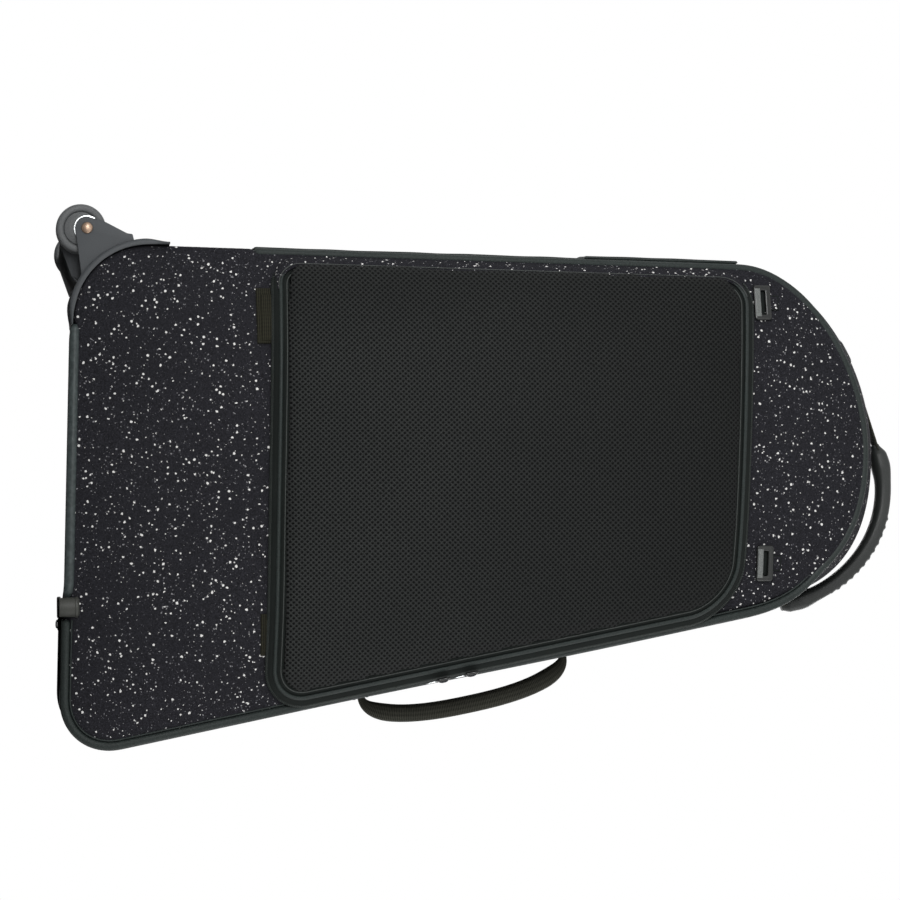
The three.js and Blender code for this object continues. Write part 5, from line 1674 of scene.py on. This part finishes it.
under_grip = cubic(grip_points, np.linspace(0.02, 0.98, 40))
strap_path = np.vstack([dome_part(0, 0.6, 0.8), under_grip, dome_part(1, 0.86, 1.0)])
points = even(outline_of(strap_path), 3.0)["p"]
for _ in range(6):
    points[1:-1] = (points[:-2] + 2 * points[1:-1] + points[2:]) / 4
strap_line = outline_of(points)
ribbon("dome_strap", strap_line, 1.3, 10, handle_web, ["grip_strap"], 6, 24)
for label, keep in (("start", slice(0, 12)), ("end", slice(-13, None))):
    piece_line = outline_of(strap_line["p"][keep])
    size = quarter_round((from_ends(piece_line) + 0.3) / 7)
    name = "strap_stub_" + label
    ribbon(name, piece_line, 4.2 * size, 12.5 * size, grip_rubber, (), 3.4)

# %% [markdown]
# ## Strap tabs and moulded loops
# Two tabs of webbing hold the lower ends of the shoulder straps, and two moulded loops take the
# upper ends. Each loop is a rounded frame round a slot, sewn down by a short tongue of flecked
# cloth. A pale pad on the frame's lower bar is a painted highlight, and a dark pad in the slot is
# painted shade.

# %% Tabs
def pad_on_back(
    name, x_span, z_span, low, thickness, finish, nodes, rows=40, columns=14, rim=1.2
):
    """A low rounded slab over a rectangle; its top dips to the rim over a quarter circle."""
    first, last = [0, 0.004, 0.012, 0.03], [0.97, 0.988, 0.996, 1]
    u = np.concatenate([first, np.linspace(0.06, 0.94, rows), last])
    v = np.concatenate([[0, 0.02, 0.06], np.linspace(0.12, 0.88, columns), [0.94, 0.98, 1]])
    share_u, share_v = np.meshgrid(u, v, indexing="ij")
    x, z = mix(*x_span, share_u), mix(*z_span, share_v)
    from_side = np.minimum(share_u, 1 - share_u) * abs(x_span[1] - x_span[0])
    from_end = np.minimum(share_v, 1 - share_v) * abs(z_span[1] - z_span[0])
    near = np.minimum(from_side, from_end)
    rise = thickness * quarter_round((near + 0.05) / rim)
    floor_y = back_depth(x, z) - low
    top = np.stack([x, floor_y - rise, z], -1)
    under = np.stack([x, floor_y + 0.05, z], -1)
    piece = surface(name, np.concatenate([top, under[:, ::-1]], 1), sharp=60)
    return dress(piece, "case", finish, nodes)


for name, x_span, z_span, low, thickness, nodes in (
    ("hinge_web", (-197, -138), (204.4, 222.4), 0.3, 2.4, ["strap_anchor_hinge"]),
    ("hinge_fold", (-190, -141), (209, 224), 2.4, 1.9, ()),
    ("handle_web", (140, 183), (204.4, 219.4), 0.3, 2.4, ["strap_anchor_handle"]),
    ("handle_fold", (145, 180), (208.5, 220), 2.4, 1.9, ()),
):
    pad_on_back("strap_tab_" + name, x_span, z_span, low, thickness, tab_web, nodes)


# %% Loops
def rounded_box(x0, x1, z0, z1, radius, steps=7):
    """Points round a rectangle with circular corners, the same number for any size."""
    left, right, low, high = x0 + radius, x1 - radius, z0 + radius, z1 - radius
    parts = []
    for q, (x, z) in enumerate(((right, high), (left, high), (left, low), (right, low))):
        turn = np.linspace(0, np.pi / 2, steps) + q * np.pi / 2
        parts.append(np.stack([x + radius * np.cos(turn), z + radius * np.sin(turn)], 1))
    return np.concatenate(parts)


def on_face(points, height):
    """Points (x, z) at a height over the crowned back."""
    x, z = points.T
    return np.stack([x, back_depth(x, z) - height, z], 1)


for label, x, z in (("hinge", -185.0, 741.5), ("handle", 94.5, 737.1)):

    def outer(inset):
        low, high, half = z + inset, z + 19.3 - inset, 19.2
        return rounded_box(x - half + inset, x + half - inset, low, high, 3.2 - inset * 0.6)

    def inner(grow):
        low, high, half = z + 8 - grow, z + 12.8 + grow, 13
        return rounded_box(x - half - grow, x + half + grow, low, high, 1.2 + grow * 0.6)

    outer_steps = ((0, 0.3), (0, 3.2), (0.5, 4.5), (1.7, 5.2))
    inner_steps = ((1.6, 5.2), (0.5, 4.6), (0, 3.2), (0, 0.3))
    outside = [on_face(outer(inset), height) for inset, height in outer_steps]
    inside = [on_face(inner(grow), height) for grow, height in inner_steps]
    loop = surface(f"loop_{label}_frame", np.stack(outside + inside), wrap_rows=True, sharp=40)
    dress(loop, "case", gloss, ["strap_loop_" + label])
    edge = np.array([(-7.4, 19.4), (-7.4, 27.8), (7.4, 27.8), (7.4, 19.4)]) + (x, z)
    share = np.linspace(0, 0.98, 12)[:, None]
    sides = [mix(a, b, share) for a, b in zip(edge[:-1], edge[1:])]
    edge_line = even(outline_of(np.vstack(sides)), 1.0)

    def small_pad(name, half, z_from, z_to, low, thickness, finish, rim):
        x_span, z_span = (x - half, x + half), (z + z_from, z + z_to)
        name = f"loop_{label}_{name}"
        pad_on_back(name, x_span, z_span, low, thickness, finish, (), 10, 8, rim)

    # The pale pad on the frame's lower bar is a painted highlight.
    small_pad("sheen", 15.5, 1.0, 7.4, 4.4, 1.5, bar_sheen, 1.5)
    small_pad("tongue", 7.5, 18.4, 28, 0.2, 2.2, cloth, 1.2)
    tube_on_back(f"loop_{label}_stitch", edge_line, (0, 1.9), 0.7, 8, "case", dark_tape)
    # Painted shade: a thin dark pad on the floor of the slot stands for the shadow inside it.
    small_pad("slot_shade", 12.6, 8.2, 12.6, 0.2, 0.9, dark_tape, 1.2)
print("loops and tabs are on")

# %% [markdown]
# ## Inside the case and the pocket
# The shoulder straps lie in the pocket. Inside, two foam blocks hold the bell and the bow, and a
# webbing band with a buckle keeps the instrument still. The foam pieces start from the frame's own
# solids, because their seats are cut there, and are then remeshed and blown up as cloth.

# %% Foam pieces
def copy_of(node, name):
    """A merged copy of a CAD node's mesh as a new object; the node itself is left alone."""
    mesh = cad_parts[node].data.copy()
    mesh.name = name
    work = bmesh.new()
    work.from_mesh(mesh)
    bmesh.ops.remove_doubles(work, verts=work.verts, dist=1e-5)
    work.to_mesh(mesh)
    work.free()
    piece = bpy.data.objects.new(name, mesh)
    bpy.context.scene.collection.objects.link(piece)
    return piece


def pull_in(piece, amount):
    """Each point moves inwards along its normal, to leave room for the stuffing."""
    mesh = piece.data
    flat = np.empty(len(mesh.vertices) * 3, np.float32)
    mesh.vertex_normals.foreach_get("vector", flat)
    points = places_of(mesh) - flat.reshape(-1, 3) * amount
    mesh.vertices.foreach_set("co", (points * MM).astype(np.float32).ravel())
    mesh.update()


for node, name, voxel, cap in (
    ("shoulder_strap_hinge", "padded_strap_hinge", 4.0, 2.4),
    ("shoulder_strap_handle", "padded_strap_handle", 4.0, 2.4),
    ("bell_pad", "bell_block", 6.0, 2.0),
    ("bow_pad", "bow_block", 6.0, 2.0),
):
    foam_piece = copy_of(node, name)
    even_remesh(foam_piece, voxel)
    pull_in(foam_piece, cap * 0.75)
    dress(foam_piece, "case", foam_cloth, [node])
    blow_up(foam_piece, cap)
    print(name, len(foam_piece.data.polygons), "faces")

# %% Band and buckle
def slab(name, low, high, rim, body, finish, nodes):
    """A box with rounded long edges, whose rows run across the case."""
    x = np.linspace(low[0], high[0], 60)
    loop = rounded_box(low[1], high[1], low[2], high[2], rim, 4)
    grid = np.stack(np.broadcast_arrays(x[:, None], loop[None, :, 0], loop[None, :, 1]), -1)
    return dress(surface(name, grid, sharp=60), body, finish, nodes)


band_low, band_high = (-224, 96, 406), (193, 98.6, 454)
slab("instrument_band", band_low, band_high, 1.0, "case", webbing, ["instrument_strap"])
buckle_section = [(101.0, 0.5), (94.0, 0.0), (92.9, 0.9), (92.9, 2.0)]
buckle_section += [(94.0, 2.7), (101.0, 2.7), (101.8, 2.0), (101.8, 0.9)]
buckle_rings = []
for y, inset in buckle_section:
    low, high = 402.8 + inset, 457.2 - inset
    loop = rounded_box(20 + inset, 60 - inset, low, high, 3.5 - inset * 0.4)
    buckle_rings.append(np.stack([loop[:, 0], np.full(len(loop), y), loop[:, 1]], 1))
buckle = surface("band_buckle", np.stack(buckle_rings), wrap_rows=True, sharp=40)
dress(buckle, "case", gloss, ["strap_buckle"])
